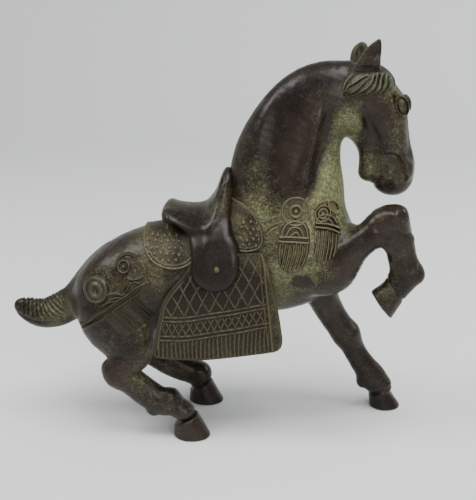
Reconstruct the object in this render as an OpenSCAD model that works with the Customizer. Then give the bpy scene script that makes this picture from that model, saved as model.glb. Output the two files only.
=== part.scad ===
// Bronze statuette of a rearing horse in saddle and harness.
// Sections are cast separately and joined: hollow barrel and neck, solid head,
// legs and tail on spigots, with saddle, cloths and harness ornaments set on.
// Millimetres, +Z up, +X towards the head, +Y towards the horse's left side.
// The three standing hooves rest on Z = 0.

/* [Casting] */
// Wall of the hollow barrel and neck
wall = 3.6; // [2.5:0.1:5]
// Radial gap between a spigot and its socket
joint_gap = 0.1; // [0.05:0.05:0.3]
// Radius of the spigots on the legs
spigot_r = 4.5; // [3:0.5:6]
// Depth that a spigot goes into its socket
spigot_l = 9; // [6:0.5:12]
// Radius of the spigot on the head
head_spigot_r = 6; // [4:0.5:8]
// Length of the collar under the neck
collar_l = 5; // [3:0.5:8]

/* [Saddlery] */
// Thickness of a hanging saddle cloth
cloth_t = 4.4; // [3:0.2:6]
// Flare of the cloths from vertical, in degrees
cloth_flare = 4; // [2:0.5:7]
// Thickness of the pad under the saddle
pad_t = 1.8; // [1.2:0.1:2.6]
// Radius of the stud on each saddle flap
stud_r = 1.3; // [0.8:0.1:2]

/* [Ornaments] */
// Height of the rosettes above the hide
rosette_t = 1.8; // [1:0.1:2.5]
// Height of the tassels and straps above the hide
tassel_t = 1.3; // [0.8:0.1:2]
// Radius of the large rosette on each shoulder
rosette_r = 8.4; // [6:0.2:10]

/* [Hooves] */
// Half length of a hind hoof on the ground
hind_hoof_l = 12.4; // [10:0.2:14]
// Half length of the standing front hoof on the ground
fore_hoof_l = 10.4; // [9:0.2:12]

/* [Hidden] */
// The sculpted form is laid out about a point under the saddle; this moves it to the middle of its box.
place = [16.1, 0, 0];
bronze = [0.27, 0.24, 0.19];
dark_bronze = [0.2, 0.16, 0.15];
green_bronze = [0.33, 0.34, 0.25];

// Stations of each form: [x, y, z, half height in profile, half width].
BARREL = [[-94.5, 0, 84, 15.5, 15.5], [-88, 0, 86, 21, 21], [-79, 0, 90, 25.5, 26], [-67, 0, 94, 30, 29.5],
    [-50, 0, 99, 33, 30], [-30, 0, 103.5, 33.5, 30], [-8, 0, 109, 34, 29], [15, 0, 116, 34, 29], [36, 0, 123, 33, 29],
    [49, 0, 129, 27, 26], [54, 0, 134, 19, 21]];
NECK = [[26, 0, 130, 34, 28], [31, 0, 150, 36.5, 25], [31, 0, 172, 33.5, 21], [35, 0, 189, 29.5, 18],
    [42, 0, 203, 27.5, 16], [51, 0, 212, 25.5, 15], [64, 0, 215, 23, 14]];
HEAD = [[58, 0, 213, 23, 14.5], [71, 1, 216, 20, 14.5], [80, 2, 211, 20.5, 15], [86, 3, 204, 18, 14.5], [89.5, 4, 193, 14.8, 12.5],
    [91, 4, 182, 15, 11], [93, 4.5, 172, 14, 10.5], [95, 4.5, 165.5, 9.5, 9]];
// Haunch to coronet, right side.
HIND_R = [[-74, -13, 94, 24, 15], [-76, -17, 80, 22, 15], [-69, -20, 67, 19, 13.5], [-66, -23, 56, 15, 12],
    [-73, -25, 47, 11.5, 10.5], [-75, -26, 42, 10.5, 9.5], [-66, -26, 34, 9.8, 8.6], [-56, -26, 27, 9.3, 8.4],
    [-47, -26, 21, 10, 9], [-38, -26, 17, 9, 9], [-31.5, -26, 12.5, 8.2, 9.4]];
HIND_L = [[-74, 13, 94, 24, 15], [-76, 17, 80, 22, 15], [-69, 20, 67, 19, 13.5], [-65, 23, 56, 15, 12],
    [-70, 25, 48, 11.5, 10.5], [-69, 26, 43, 10.5, 9.5], [-58, 26, 35, 9.8, 8.6], [-47, 26, 27.5, 9.3, 8.4],
    [-36, 26, 20.5, 10, 9], [-30, 26, 15.5, 9, 9], [-27, 26, 12.5, 8.2, 9.4]];
FORE_R = [[36, -13, 122, 24, 15], [49, -18, 115, 19, 13.5], [58, -22, 113.5, 16, 12], [70, -23, 123.5, 13, 10.5],
    [81, -23, 132, 12.2, 9.6], [92.5, -23, 142, 13.2, 10.2], [98.5, -23, 134, 10.5, 9], [102.5, -23, 122, 9.6, 8],
    [104.5, -23, 111.5, 10.4, 8.4], [100, -23, 101.5, 9, 8]];
FORE_L = [[44, 13, 112, 22, 15], [50, 18, 96, 17, 13], [57, 21, 80, 12.5, 10.5], [63, 23, 67, 10.3, 9.3],
    [70, 24, 56, 9.8, 9.3], [75.5, 24, 46, 8.3, 8], [81, 24, 37, 8.2, 7.6], [86, 24, 29, 9, 8],
    [90.5, 24, 21, 9.8, 8.4], [96, 24, 14, 8.6, 8.6], [98.5, 24, 11, 8, 9]];
TAIL = [[-94, 0, 93, 12, 9], [-106, 0, 83, 11.6, 8.6], [-116, 0, 76, 11.3, 8.2], [-124, 0, 72, 10.5, 7.8],
    [-131, 0, 72, 9.9, 7.2], [-137, 0, 74, 8.5, 6.2], [-141.5, 0, 76.2, 5.6, 4.6], [-144.2, 0, 77.8, 2.2, 2.4]];

// Joint planes: [a point on the plane, the direction in which the outer piece lies].
J_NECK = [[31, 0, 166], [0, 0, 1]];
J_HEAD = [[62, 0, 212], [1, 0, 0.18]];
J_HIND_R = [[-67.5, -21.5, 61], [0.1, -0.15, -1]];
J_HIND_L = [[-67.5, 21.5, 61], [0.1, 0.15, -1]];
J_FORE_R = [[71, -23, 124.5], [0.79, 0, 0.61]];
J_FORE_L = [[55.5, 20.5, 83], [0.42, 0.15, -0.9]];
J_TAIL = [[-112, 0, 79], [-0.8, 0, -0.6]];

function part_of(list, from, to) = [for (i = [from:to]) list[i]];
function mirrored(list) = [for (s = list) [s[0], -s[1], s[2], s[3], s[4]]];

// An ellipsoid at one station, grown or shrunk by a margin.
module lump(s, grow = 0, fn = 20)
    translate([s[0], s[1], s[2]])
        scale([s[3] + grow, s[4] + grow, s[3] + grow]) sphere(r = 1, $fn = fn);

// A form through its stations.
module chain(list, grow = 0, fn = 20)
    for (i = [0:len(list) - 2]) hull() {
        lump(list[i], grow, fn);
        lump(list[i + 1], grow, fn);
    }

// Turns +Z to a direction, which must not be straight down.
module along(d) {
    l = norm(d);
    rotate([0, acos(d[2] / l), atan2(d[1], d[0])]) children();
}

// Everything on the outer side of a joint plane.
module beyond(j) translate(j[0]) along(j[1]) translate([-200, -200, 0]) cube([400, 400, 400]);
// Everything on the inner side of a joint plane.
module before(j) translate(j[0]) along(j[1]) translate([-200, -200, -400]) cube([400, 400, 400]);

module spigot(j, r = spigot_r, l = spigot_l)
    translate(j[0]) along(j[1]) translate([0, 0, -l]) cylinder(r = r, h = l + 2, $fn = 24);
module socket(j, r = spigot_r, l = spigot_l)
    translate(j[0]) along(j[1]) translate([0, 0, -l - 0.5]) cylinder(r = r + joint_gap, h = l + 1, $fn = 24);

// The root of a limb that stays on the barrel.
module stub(list, last, j, grow = 0) intersection() {
    chain(part_of(list, 0, last), grow, 18);
    before(j);
}
// The outer length of a limb.
module limb(list, first, j) intersection() {
    chain(part_of(list, first, len(list) - 1), fn = 18);
    beyond(j);
}

// Outer form of the barrel casting, with the roots of the limbs and neck.
module barrel_form(grow = 0) {
    chain(BARREL, grow, 24);
    for (s = [-1, 1]) hull() {
        lump([49, s * 11, 122, 18, 13], grow);
        lump([54, s * 8, 132, 12, 10], grow);
    }
    stub(HIND_R, 3, J_HIND_R, grow);
    stub(HIND_L, 3, J_HIND_L, grow);
    stub(FORE_R, 3, J_FORE_R, grow);
    stub(FORE_L, 3, J_FORE_L, grow);
    intersection() {
        chain(part_of(NECK, 0, 2), grow, 24);
        before(J_NECK);
    }
    stub(TAIL, 1, J_TAIL, grow);
}

module torso() color(bronze) difference() {
    barrel_form();
    chain(part_of(BARREL, 2, 9), -wall, 20);
    chain(part_of(NECK, 0, 2), -wall, 20);
    for (j = [J_HIND_R, J_HIND_L, J_FORE_R, J_FORE_L, J_TAIL]) socket(j);
}

module neck() color(dark_bronze) difference() {
    union() {
        intersection() {
            chain(part_of(NECK, 1, 6), 0, 24);
            beyond(J_NECK);
            before(J_HEAD);
        }
        intersection() {
            chain(part_of(NECK, 0, 2), -wall - joint_gap, 20);
            translate([-50, -50, J_NECK[0][2] - collar_l]) cube([200, 100, collar_l + 1]);
        }
    }
    chain(part_of(NECK, 0, 2), -wall - 2.4, 20);
    chain(part_of(NECK, 2, 5), -wall - 2.4, 20);
    socket(J_HEAD, head_spigot_r);
}

module head_form(grow = 0) intersection() {
    beyond(J_HEAD);
    union() {
    chain(HEAD, grow, 22);
    chain(part_of(NECK, 5, 6), grow, 24);
    // Jowls, chin and brows.
    hull() {
        lump([77, 2.5, 199, 13.5, 12.5], grow);
        lump([80, 3, 190, 9, 9], grow);
    }
    lump([79.5, 4, 173.5, 6.4, 6.8], grow);
    hull() {
        lump([95, -7.5, 212.5, 7, 5.2], grow);
        lump([95, 14, 212.5, 7, 5.2], grow);
    }
    hull() {
        lump([100, -1, 169, 7.2, 7], grow);
        lump([100, 9.5, 169, 7.2, 7], grow);
    }
    }
}
module head() color(bronze) {
    head_form();
    spigot(J_HEAD, head_spigot_r);
}

// A pricked ear: leaf-shaped, leaning forward.
module ear_form(base, tip, w) {
    hull() {
        translate(base) scale([w, w * 0.62, w * 0.8]) sphere(r = 1, $fn = 14);
        translate(base * 0.45 + tip * 0.55) scale([w * 0.86, w * 0.42, w * 0.6]) sphere(r = 1, $fn = 14);
    }
    hull() {
        translate(base * 0.45 + tip * 0.55) scale([w * 0.86, w * 0.42, w * 0.6]) sphere(r = 1, $fn = 14);
        translate(tip) sphere(r = 0.9, $fn = 10);
    }
}
module right_ear() color(dark_bronze) difference() {
    ear_form([77, -8.5, 236], [82.6, -9.5, 249], 5.2);
    head_form();
    chain(part_of(NECK, 4, 6), 0, 24);
}
module left_ear() color(green_bronze) difference() {
    ear_form([72.5, 11, 235.5], [75, 12, 247], 5.2);
    head_form();
    chain(part_of(NECK, 4, 6), 0, 24);
}

// Hair swept from the poll over the forehead and down both cheeks.
module forelock() color(green_bronze) difference() {
    union() {
        hull() {
            lump([83, 2.5, 229, 5, 7], 0, 14);
            lump([90.5, 3, 225.5, 4.3, 8], 0, 14);
        }
        for (s = [[-1, 0], [1, 5]]) {
            hull() {
                lump([88, s[1] + s[0] * 6, 226.5, 4.3, 5], 0, 14);
                lump([80, s[1] + s[0] * 12, 224.5, 5.2, 4], 0, 14);
            }
            hull() {
                lump([80, s[1] + s[0] * 12, 224.5, 5.2, 4], 0, 14);
                lump([67, s[1] + s[0] * 13, 219, 3.6, 2.6], 0, 14);
            }
        }
    }
    head_form();
    chain(part_of(NECK, 3, 6), 0, 24);
    ear_form([77, -8.5, 236], [82.6, -9.5, 249], 5.2);
    ear_form([72.5, 11, 235.5], [75, 12, 247], 5.2);
}

// A hoof that stands on the ground: heel and toe in profile, coronet above.
module hoof(x, y, l, w, top) {
    hull() {
        translate([x, y, 0]) scale([l, w, 1]) cylinder(r = 1, h = 1.6, $fn = 28);
        translate([x + l * 0.04, y, 4]) scale([l * 1.02, w * 1.02, 1]) cylinder(r = 1, h = 1, $fn = 28);
        translate(top) rotate([0, 22, 0]) scale([9, 9.6, 1]) cylinder(r = 1, h = 1, $fn = 24);
    }
}
module right_hind_leg() color(bronze) {
    limb(HIND_R, 2, J_HIND_R);
    difference() {
        union() {
            hoof(-28.5, -26, hind_hoof_l, 11, [-32, -26, 12]);
            hull() {
                lump([-52.5, -26, 14.5, 3.6, 4]);
                lump([-48, -26, 20, 7, 7]);
            }
            hull() {
                lump([-82.5, -26, 44, 3.4, 4]);
                lump([-76, -26, 44, 7, 7]);
            }
        }
        chain(part_of(HIND_R, 4, 10), -0.6, 18);
    }
    spigot(J_HIND_R);
}
module left_hind_leg() color(bronze) {
    limb(HIND_L, 2, J_HIND_L);
    difference() {
        union() {
            hoof(-24, 26, hind_hoof_l, 11, [-27.5, 26, 12]);
            hull() {
                lump([-40.5, 26, 14.5, 3.6, 4]);
                lump([-37, 26, 20, 7, 7]);
            }
            hull() {
                lump([-78, 26, 46, 3.4, 4]);
                lump([-71, 26, 46, 7, 7]);
            }
        }
        chain(part_of(HIND_L, 4, 10), -0.6, 18);
    }
    spigot(J_HIND_L);
}
module left_foreleg() color(bronze) {
    limb(FORE_L, 1, J_FORE_L);
    difference() {
        union() {
            hoof(100.4, 24, fore_hoof_l, 10, [97.5, 24, 11]);
            hull() {
                lump([82.8, 24, 17, 3, 4]);
                lump([88, 24, 21, 7, 7]);
            }
        }
        chain(part_of(FORE_L, 4, 10), -0.6, 18);
    }
    spigot(J_FORE_L);
}
// The raised hoof hangs with its sole turned back and down.
module right_foreleg() color(bronze) {
    limb(FORE_R, 1, J_FORE_R);
    difference() {
        union() {
            hull() {
                translate([89.5, -23, 90.5]) rotate([0, 52, 0]) scale([10.6, 9.6, 1]) cylinder(r = 1, h = 1.6, $fn = 28);
                translate([98.5, -23, 98.5]) rotate([0, 40, 0]) scale([8.8, 8.6, 1]) cylinder(r = 1, h = 1, $fn = 24);
            }
            hull() {
                lump([111.6, -23, 110, 3.2, 4]);
                lump([105, -23, 112, 8, 7]);
            }
        }
        chain(part_of(FORE_R, 5, 9), -0.6, 18);
    }
    spigot(J_FORE_R);
}

module tail() color(bronze) {
    limb(TAIL, 0, J_TAIL);
    spigot(J_TAIL, 4, 8);
    // The tuft turns up to a blunt point.
    hull() {
        lump([-131, 0, 72.6, 9.6, 6.9], 0, 18);
        lump([-139, 0, 75.2, 7.2, 5.4], 0, 18);
    }
}

// A raised patch of the hide: the 2D outline is seen from the side, X right and Z up.
module raised(t, side) difference() {
    intersection() {
        barrel_form(t);
        scale([1, side, 1]) translate([0, -6, 0]) rotate([90, 0, 0]) linear_extrude(60) children();
    }
    barrel_form();
}

module pad_outline() {
    hull() {
        translate([-40, 130]) circle(r = 16, $fn = 32);
        translate([-45, 124]) circle(r = 12, $fn = 32);
        translate([-10, 140]) circle(r = 14, $fn = 32);
    }
    hull() {
        translate([-10, 140]) circle(r = 14, $fn = 32);
        translate([6, 139]) circle(r = 14, $fn = 32);
        translate([9, 134]) circle(r = 9.5, $fn = 32);
    }
}
// The pad lies over the back and shows before and behind the saddle.
module pad_form(grow = 0) difference() {
    intersection() {
        barrel_form(pad_t);
        translate([0, 50, 0]) rotate([90, 0, 0]) linear_extrude(100) pad_outline();
    }
    barrel_form();
}
module saddle_pad() color(green_bronze) pad_form();

// Saddle: sections across the horse, each an arch from flap to flap.
// [x, crown height, half width of the crown, z of the lower edge, half width at that edge]
SADDLE = [[-49.5, 143.5, 8, 140.5, 13], [-46.5, 147.5, 12, 138.5, 21], [-41, 149, 16, 136.5, 26.5], [-34.5, 148.5, 18, 130, 32],
    [-28.5, 148.5, 18.5, 112, 37], [-21, 149.5, 17.5, 101.5, 39.2], [-13.5, 154, 15, 98.8, 39.8], [-6.5, 171.5, 12.5, 101.5, 39.2],
    [-2, 172.5, 9.5, 108, 37.5], [1.5, 152, 8, 117, 35]];
function arch(s, k) = [for (i = [0:12]) let(u = -1 + i / 6, a = abs(u), sg = sign(u),
        // the crown is round to half way, then the flap falls to its edge
        y = a < 0.5 ? s[2] * sin(a * 180) : s[2] + (s[4] - s[2]) * sin((a - 0.5) * 180),
        z = a < 0.5 ? s[1] - (s[1] - s[3]) * 0.16 * (1 - cos(a * 180)) : s[1] - (s[1] - s[3]) * (0.16 + 0.84 * pow((a - 0.5) * 2, 1.15)))
    [s[0], sg * y * k, z - (1 - k) * 20]];
function arch_ring(s) = concat(arch(s, 1), [for (i = [12:-1:0]) arch(s, 0.55)[i]]);
module skin(rings) {
    n = len(rings[0]);
    m = len(rings);
    polyhedron(points = [for (r = rings) for (p = r) p],
        faces = concat(
            [for (i = [0:m - 2]) for (j = [0:n - 1]) [i * n + j, i * n + (j + 1) % n, (i + 1) * n + j]],
            [for (i = [0:m - 2]) for (j = [0:n - 1]) [i * n + (j + 1) % n, (i + 1) * n + (j + 1) % n, (i + 1) * n + j]],
            [for (j = [0:11]) [j, n - 2 - j, j + 1], for (j = [0:11]) [j, n - 1 - j, n - 2 - j]],
            [for (j = [0:11]) [(m - 1) * n + j, (m - 1) * n + j + 1, (m - 1) * n + n - 2 - j],
             for (j = [0:11]) [(m - 1) * n + j, (m - 1) * n + n - 2 - j, (m - 1) * n + n - 1 - j]]));
}
module saddle_form() skin([for (s = SADDLE) arch_ring(s)]);
module saddle() color(dark_bronze) difference() {
    saddle_form();
    barrel_form(pad_t);
    chain(part_of(NECK, 0, 3), 0.3, 24);
    for (s = [1, -1]) {
        cloth_slab(s);
        stud(s);
    }
}
module stud(s) translate([-12.5, s * 36, 113]) rotate([s * -90, 0, 0]) cylinder(r = stud_r, h = 4, $fn = 20);
module flap_studs() color(green_bronze) for (s = [-1, 1]) stud(s);

// A cloth hangs from under the saddle, flared, with rounded lower corners.
module cloth_outline() hull() {
    translate([-47, 58]) circle(r = 4.5, $fn = 20);
    translate([23.5, 65]) circle(r = 5, $fn = 24);
    translate([24.5, 86]) circle(r = 4, $fn = 16);
    translate([14, 120]) circle(r = 3, $fn = 16);
    translate([-34, 114]) circle(r = 3, $fn = 16);
    translate([-42.5, 96]) circle(r = 4, $fn = 16);
}
module cloth_slab(side) scale([1, side, 1]) translate([0, -29.6, 125]) rotate([cloth_flare, 0, 0])
    rotate([90, 0, 0]) linear_extrude(cloth_t) translate([0, -125]) cloth_outline();
module cloth(side) difference() {
    cloth_slab(side);
    barrel_form(pad_t);
}
module saddle_cloth_right() color(green_bronze) cloth(1);
module saddle_cloth_left() color(green_bronze) cloth(-1);

module shoulder_rosettes() color(green_bronze) for (s = [1, -1]) difference() {
    raised(rosette_t, s) translate([36.5, 150]) circle(r = rosette_r, $fn = 32);
    pad_form();
}
module chest_rosettes() color(green_bronze) for (s = [1, -1])
    raised(rosette_t, s) translate([57, 152]) circle(r = 4.6, $fn = 28);
module tassel_outline() hull() {
    translate([-8, 0]) circle(r = 1, $fn = 12);
    translate([8, 0]) circle(r = 1, $fn = 12);
    translate([6, -10]) circle(r = 1.5, $fn = 12);
    translate([-5, -20]) circle(r = 1.5, $fn = 12);
    translate([-8.5, -8]) circle(r = 1, $fn = 12);
}
module shoulder_tassels() color(green_bronze) for (s = [1, -1]) difference() {
    raised(tassel_t, s) translate([35.5, 133.5]) tassel_outline();
    saddle_form();
}
module chest_tassels() color(green_bronze) for (s = [1, -1])
    raised(tassel_t, s) translate([56, 137]) scale([0.8, 0.9]) tassel_outline();

module rump_rosettes() color(green_bronze) for (s = [1, -1]) {
    raised(rosette_t, s) translate([-69, 114]) circle(r = 4.8, $fn = 28);
    raised(rosette_t, s) translate([-87, 100]) circle(r = 7, $fn = 28);
}
module strap_outline() hull() {
    translate([-59, 102]) circle(r = 1.6, $fn = 12);
    translate([-93, 78.5]) circle(r = 1.6, $fn = 12);
}
module crupper_straps() color(green_bronze) for (s = [1, -1])
    raised(tassel_t, s) strap_outline();
module rump_tassels() color(green_bronze) for (s = [1, -1]) difference() {
    raised(tassel_t - 0.3, s) polygon([[-60, 98], [-55, 93], [-57, 80], [-68, 72], [-82, 70], [-90, 76]]);
    cloth_slab(s);
}

translate(place) torso();
translate(place) neck();
translate(place) head();
translate(place) right_ear();
translate(place) left_ear();
translate(place) forelock();
translate(place) right_foreleg();
translate(place) left_foreleg();
translate(place) right_hind_leg();
translate(place) left_hind_leg();
translate(place) tail();
translate(place) saddle_pad();
translate(place) saddle();
translate(place) flap_studs();
translate(place) saddle_cloth_right();
translate(place) saddle_cloth_left();
translate(place) shoulder_rosettes();
translate(place) chest_rosettes();
translate(place) shoulder_tassels();
translate(place) chest_tassels();
translate(place) rump_rosettes();
translate(place) crupper_straps();
translate(place) rump_tassels();
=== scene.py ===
# Bronze statuette of a rearing horse in saddle and harness.
# Every surface is sculpted as a signed distance field in millimetres, meshed with
# surface nets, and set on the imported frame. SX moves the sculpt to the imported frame.
import math
import bpy
import numpy as np
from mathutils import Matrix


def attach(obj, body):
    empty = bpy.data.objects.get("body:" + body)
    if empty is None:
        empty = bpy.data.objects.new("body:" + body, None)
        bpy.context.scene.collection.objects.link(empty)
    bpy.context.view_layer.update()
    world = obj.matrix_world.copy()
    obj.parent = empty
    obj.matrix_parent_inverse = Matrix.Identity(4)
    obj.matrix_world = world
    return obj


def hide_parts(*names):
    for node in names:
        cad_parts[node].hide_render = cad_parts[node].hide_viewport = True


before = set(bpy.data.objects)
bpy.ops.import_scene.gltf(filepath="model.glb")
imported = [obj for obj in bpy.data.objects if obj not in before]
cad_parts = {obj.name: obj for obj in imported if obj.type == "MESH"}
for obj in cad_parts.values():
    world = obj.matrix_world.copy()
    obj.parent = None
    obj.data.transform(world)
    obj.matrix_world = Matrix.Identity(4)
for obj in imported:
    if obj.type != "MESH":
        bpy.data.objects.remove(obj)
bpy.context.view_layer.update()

SX = 16.1
F = np.float32


# ------------------------------------------------------------------ field tools
def spline(st, n=4):
    """Catmull-Rom through stations."""
    st = np.asarray(st, float)
    p = np.vstack([2 * st[0] - st[1], st, 2 * st[-1] - st[-2]])
    out = []
    for i in range(1, len(p) - 2):
        a, b, c, d = p[i - 1], p[i], p[i + 1], p[i + 2]
        for j in range(n):
            t = j / n
            out.append(0.5 * (2 * b + (c - a) * t + (2 * a - 5 * b + 4 * c - d) * t * t + (3 * b - a - 3 * c + d) * t ** 3))
    out.append(st[-1])
    return np.array(out)


def smin(a, b, k):
    h = np.maximum(k - np.abs(a - b), 0) / k
    return np.minimum(a, b) - h * h * (k * 0.25)


def smax(a, b, k):
    return -smin(-a, -b, k)


def gauss(d, w):
    return np.exp(-np.square(d / w))


def smooth(x, a, b):
    t = np.clip((x - a) / (b - a), 0, 1)
    return t * t * (3 - 2 * t)


def line2(x, z, pts, n=4):
    """Distance in the side view to a smooth line, and the signed side and place along it."""
    p = spline(pts, n) if n > 1 else np.asarray(pts, float)
    best = np.full(x.shape, 1e6, F)
    side = np.zeros(x.shape, F)
    where = np.zeros(x.shape, F)
    total = np.concatenate([[0], np.cumsum(np.hypot(*(p[1:] - p[:-1]).T))])
    for i in range(len(p) - 1):
        ax, az = p[i]
        dx, dz = p[i + 1] - p[i]
        ll = dx * dx + dz * dz + 1e-9
        t = np.clip(((x - ax) * dx + (z - az) * dz) / ll, 0, 1)
        qx, qz = x - ax - t * dx, z - az - t * dz
        d = qx * qx + qz * qz
        m = d < best
        best = np.where(m, d, best)
        side = np.where(m, np.sign(dx * qz - dz * qx), side)
        where = np.where(m, total[i] + t * math.sqrt(ll), where)
    return np.sqrt(best), side, where / total[-1]


def inside2(x, z, pts, n=4):
    """Signed distance in the side view to a closed smooth outline: negative inside."""
    q = np.asarray(pts, float)
    if n > 1:
        m = len(q)
        out = []
        for i in range(m):
            a, b, c, d = q[(i - 1) % m], q[i], q[(i + 1) % m], q[(i + 2) % m]
            for j in range(n):
                t = j / n
                out.append(0.5 * (2 * b + (c - a) * t + (2 * a - 5 * b + 4 * c - d) * t * t + (3 * b - a - 3 * c + d) * t ** 3))
        q = np.array(out)
    best = np.full(x.shape, 1e6, F)
    odd = np.zeros(x.shape, bool)
    for i in range(len(q)):
        ax, az = q[i]
        bx, bz = q[(i + 1) % len(q)]
        dx, dz = bx - ax, bz - az
        t = np.clip(((x - ax) * dx + (z - az) * dz) / (dx * dx + dz * dz + 1e-9), 0, 1)
        best = np.minimum(best, np.square(x - ax - t * dx) + np.square(z - az - t * dz))
        if abs(dz) > 1e-9:
            cross = (az > z) != (bz > z)
            odd ^= cross & (x < (z - az) * (dx / dz) + ax)
    d = np.sqrt(best)
    return np.where(odd, -d, d)


class Tube:
    """Ellipsoids swept through stations (x, y, z, profile radius, half width)."""

    def __init__(self, st, n=4, k=6.0, grow=0.0):
        self.s = spline(st, n) if n > 1 else np.asarray(st, float)
        self.k = k
        r = self.s[:, 3:5].max(1) + k + 2.5
        self.lo = (self.s[:, :3] - r[:, None]).min(0)
        self.hi = (self.s[:, :3] + r[:, None]).max(0)

    def dist(self, p):
        x, y, z = p[:, 0], p[:, 1], p[:, 2]
        best = np.full(len(p), 1e6, F)
        s = self.s.astype(F)
        for i in range(len(s) - 1):
            a, d = s[i], s[i + 1] - s[i]
            ll = max(float(d[0] ** 2 + d[1] ** 2 + d[2] ** 2), 1e-6)
            t = np.clip(((x - a[0]) * d[0] + (y - a[1]) * d[1] + (z - a[2]) * d[2]) / F(ll), 0, 1)
            qx, qy, qz = x - a[0] - t * d[0], y - a[1] - t * d[1], z - a[2] - t * d[2]
            ra, rb = a[3] + t * d[3], a[4] + t * d[4]
            m = qx * qx + qz * qz
            n = qy * qy
            ia, ib = 1 / (ra * ra), 1 / (rb * rb)
            k0 = np.sqrt(m * ia + n * ib) + F(1e-6)
            k1 = np.sqrt(m * ia * ia + n * ib * ib) + F(1e-6)
            best = np.minimum(best, k0 * (k0 - 1) / k1)
        return best


class Ell:
    """An ellipsoid turned in the side view by an angle in degrees."""

    def __init__(self, c, r, turn=0.0, k=4.0):
        self.c, self.r, self.k = np.array(c, F), np.array(r, F), k
        self.t = math.radians(turn)
        m = max(r) + k + 2.5
        self.lo, self.hi = self.c - m, self.c + m

    def dist(self, p):
        q = p - self.c
        c, s = F(math.cos(self.t)), F(math.sin(self.t))
        x, z = q[:, 0] * c + q[:, 2] * s, q[:, 2] * c - q[:, 0] * s
        y = q[:, 1]
        r = self.r
        k0 = np.sqrt((x / r[0]) ** 2 + (y / r[1]) ** 2 + (z / r[2]) ** 2) + F(1e-6)
        k1 = np.sqrt((x / r[0] ** 2) ** 2 + (y / r[1] ** 2) ** 2 + (z / r[2] ** 2) ** 2) + F(1e-6)
        return k0 * (k0 - 1) / k1


class Hoof:
    """A hoof: an oval cone on its sole, cut by a slanting coronet. Local x to the toe, z up from the sole."""

    def __init__(self, c, turn, sole, top, at, tilt, high, k=1.2):
        self.c, self.t, self.k = np.array(c, F), math.radians(turn), k
        self.sole, self.top, self.at, self.tilt, self.high = sole, top, at, math.radians(tilt), high
        m = max(sole) + high + k + 2.5
        self.lo, self.hi = self.c - m, self.c + m

    def dist(self, p):
        q = p - self.c
        c, s = F(math.cos(self.t)), F(math.sin(self.t))
        x, z = q[:, 0] * c + q[:, 2] * s, q[:, 2] * c - q[:, 0] * s
        y = q[:, 1]
        u = np.clip(z / self.high, -0.2, 1.3)
        cx = self.at * u
        ra = self.sole[0] + (self.top[0] - self.sole[0]) * u
        rb = self.sole[1] + (self.top[1] - self.sole[1]) * u
        xx = x - cx
        k0 = np.sqrt((xx / ra) ** 2 + (y / rb) ** 2) + F(1e-6)
        k1 = np.sqrt((xx / ra ** 2) ** 2 + (y / rb ** 2) ** 2) + F(1e-6)
        side = k0 * (k0 - 1) / k1
        roof = (z - self.high) * math.cos(self.tilt) - (x - self.at) * math.sin(self.tilt)
        return smax(smax(side, roof, 1.6), -z, 1.0)


class Turned:
    """A form made straight and then turned about the upright through (60, 0): the head looks a little left."""

    def __init__(self, form, yaw):
        self.f, self.k = form, form.k
        self.a = math.radians(yaw)
        c = (form.lo + form.hi) / 2
        h = (form.hi - form.lo) / 2 + 5
        cx, cy = 60 + (c[0] - 60) * math.cos(self.a) - c[1] * math.sin(self.a), (c[0] - 60) * math.sin(self.a) + c[1] * math.cos(self.a)
        self.lo, self.hi = np.array([cx, cy, c[2]]) - h, np.array([cx, cy, c[2]]) + h

    def dist(self, p):
        return self.f.dist(unturn(p, self.a))


YAW = 7.0


def unturn(p, a=math.radians(YAW)):
    c, s = F(math.cos(a)), F(math.sin(a))
    x, y = p[:, 0] - 60, p[:, 1]
    return np.stack([60 + x * c + y * s, y * c - x * s, p[:, 2]], 1)


# ------------------------------------------------------------------ the body
BARREL = [[-94.5, 0, 84, 15.5, 15.5], [-88, 0, 86, 21, 21], [-79, 0, 90.8, 26, 26], [-67, 0, 95, 30.6, 29.5],
          [-50, 0, 99.6, 33.8, 30], [-30, 0, 103.5, 33.5, 30], [-8, 0, 109, 34, 29], [15, 0, 114, 37, 29], [36, 0, 119.2, 35.8, 29],
          [48, 0, 126, 25.4, 26], [51.5, 0, 130.5, 18, 20]]
NECK = [[25, 0, 130, 34, 28], [29.8, 0, 150, 36.3, 25], [29.8, 0, 172, 33.6, 21], [33.8, 0, 189, 29.6, 18.5],
        [41.2, 0, 203, 26.6, 16.5], [51, 0, 211.4, 24.4, 15.5], [64, 0, 214.4, 21.6, 14.5]]
HIND = [[-74, 13, 94, 24, 15], [-77.6, 17, 80, 23.8, 15.5], [-71.4, 20, 68, 20, 14], [-65.0, 23, 57, 12.9, 12],
        [-71.4, 25, 48, 10.8, 10.2], [-73.2, 26, 42.8, 9.8, 9], [-65.0, 26, 35.4, 9.2, 8], [-55.6, 26, 27.8, 9.3, 7.6],
        [-48.2, 26, 23.2, 9.2, 8.0], [-39.8, 26, 20.8, 7.2, 7.6], [-32.8, 26, 16.4, 6.6, 8.0]]
FORE_R = [[36, -13, 122, 24, 15], [49, -18, 115, 19, 13.5], [58, -22, 113.5, 16, 12], [70, -23, 125.8, 10.6, 10.5],
          [81, -23, 135.3, 9.1, 9.4], [91.0, -23, 143.6, 10.0, 9.6], [97.4, -23, 134.6, 9.6, 8.6], [101.1, -23, 122, 9.0, 7.8],
          [103.3, -23, 111.5, 9.7, 8.2], [98.2, -23, 101.5, 8.2, 8]]
FORE_L = [[43, 13, 112, 22, 15], [48.6, 18, 96, 15.6, 13], [55, 21, 80, 10.8, 10.5], [61.4, 23, 67, 9.4, 9.3],
          [68.4, 24, 56, 9.0, 9], [74.6, 24, 46, 7.9, 7.8], [79.6, 24, 37, 7.6, 7.4], [84.8, 24, 29, 8.2, 7.8],
          [90.5, 24, 21, 9.4, 8.2], [96, 24, 14.5, 8.2, 8.4]]
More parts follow.
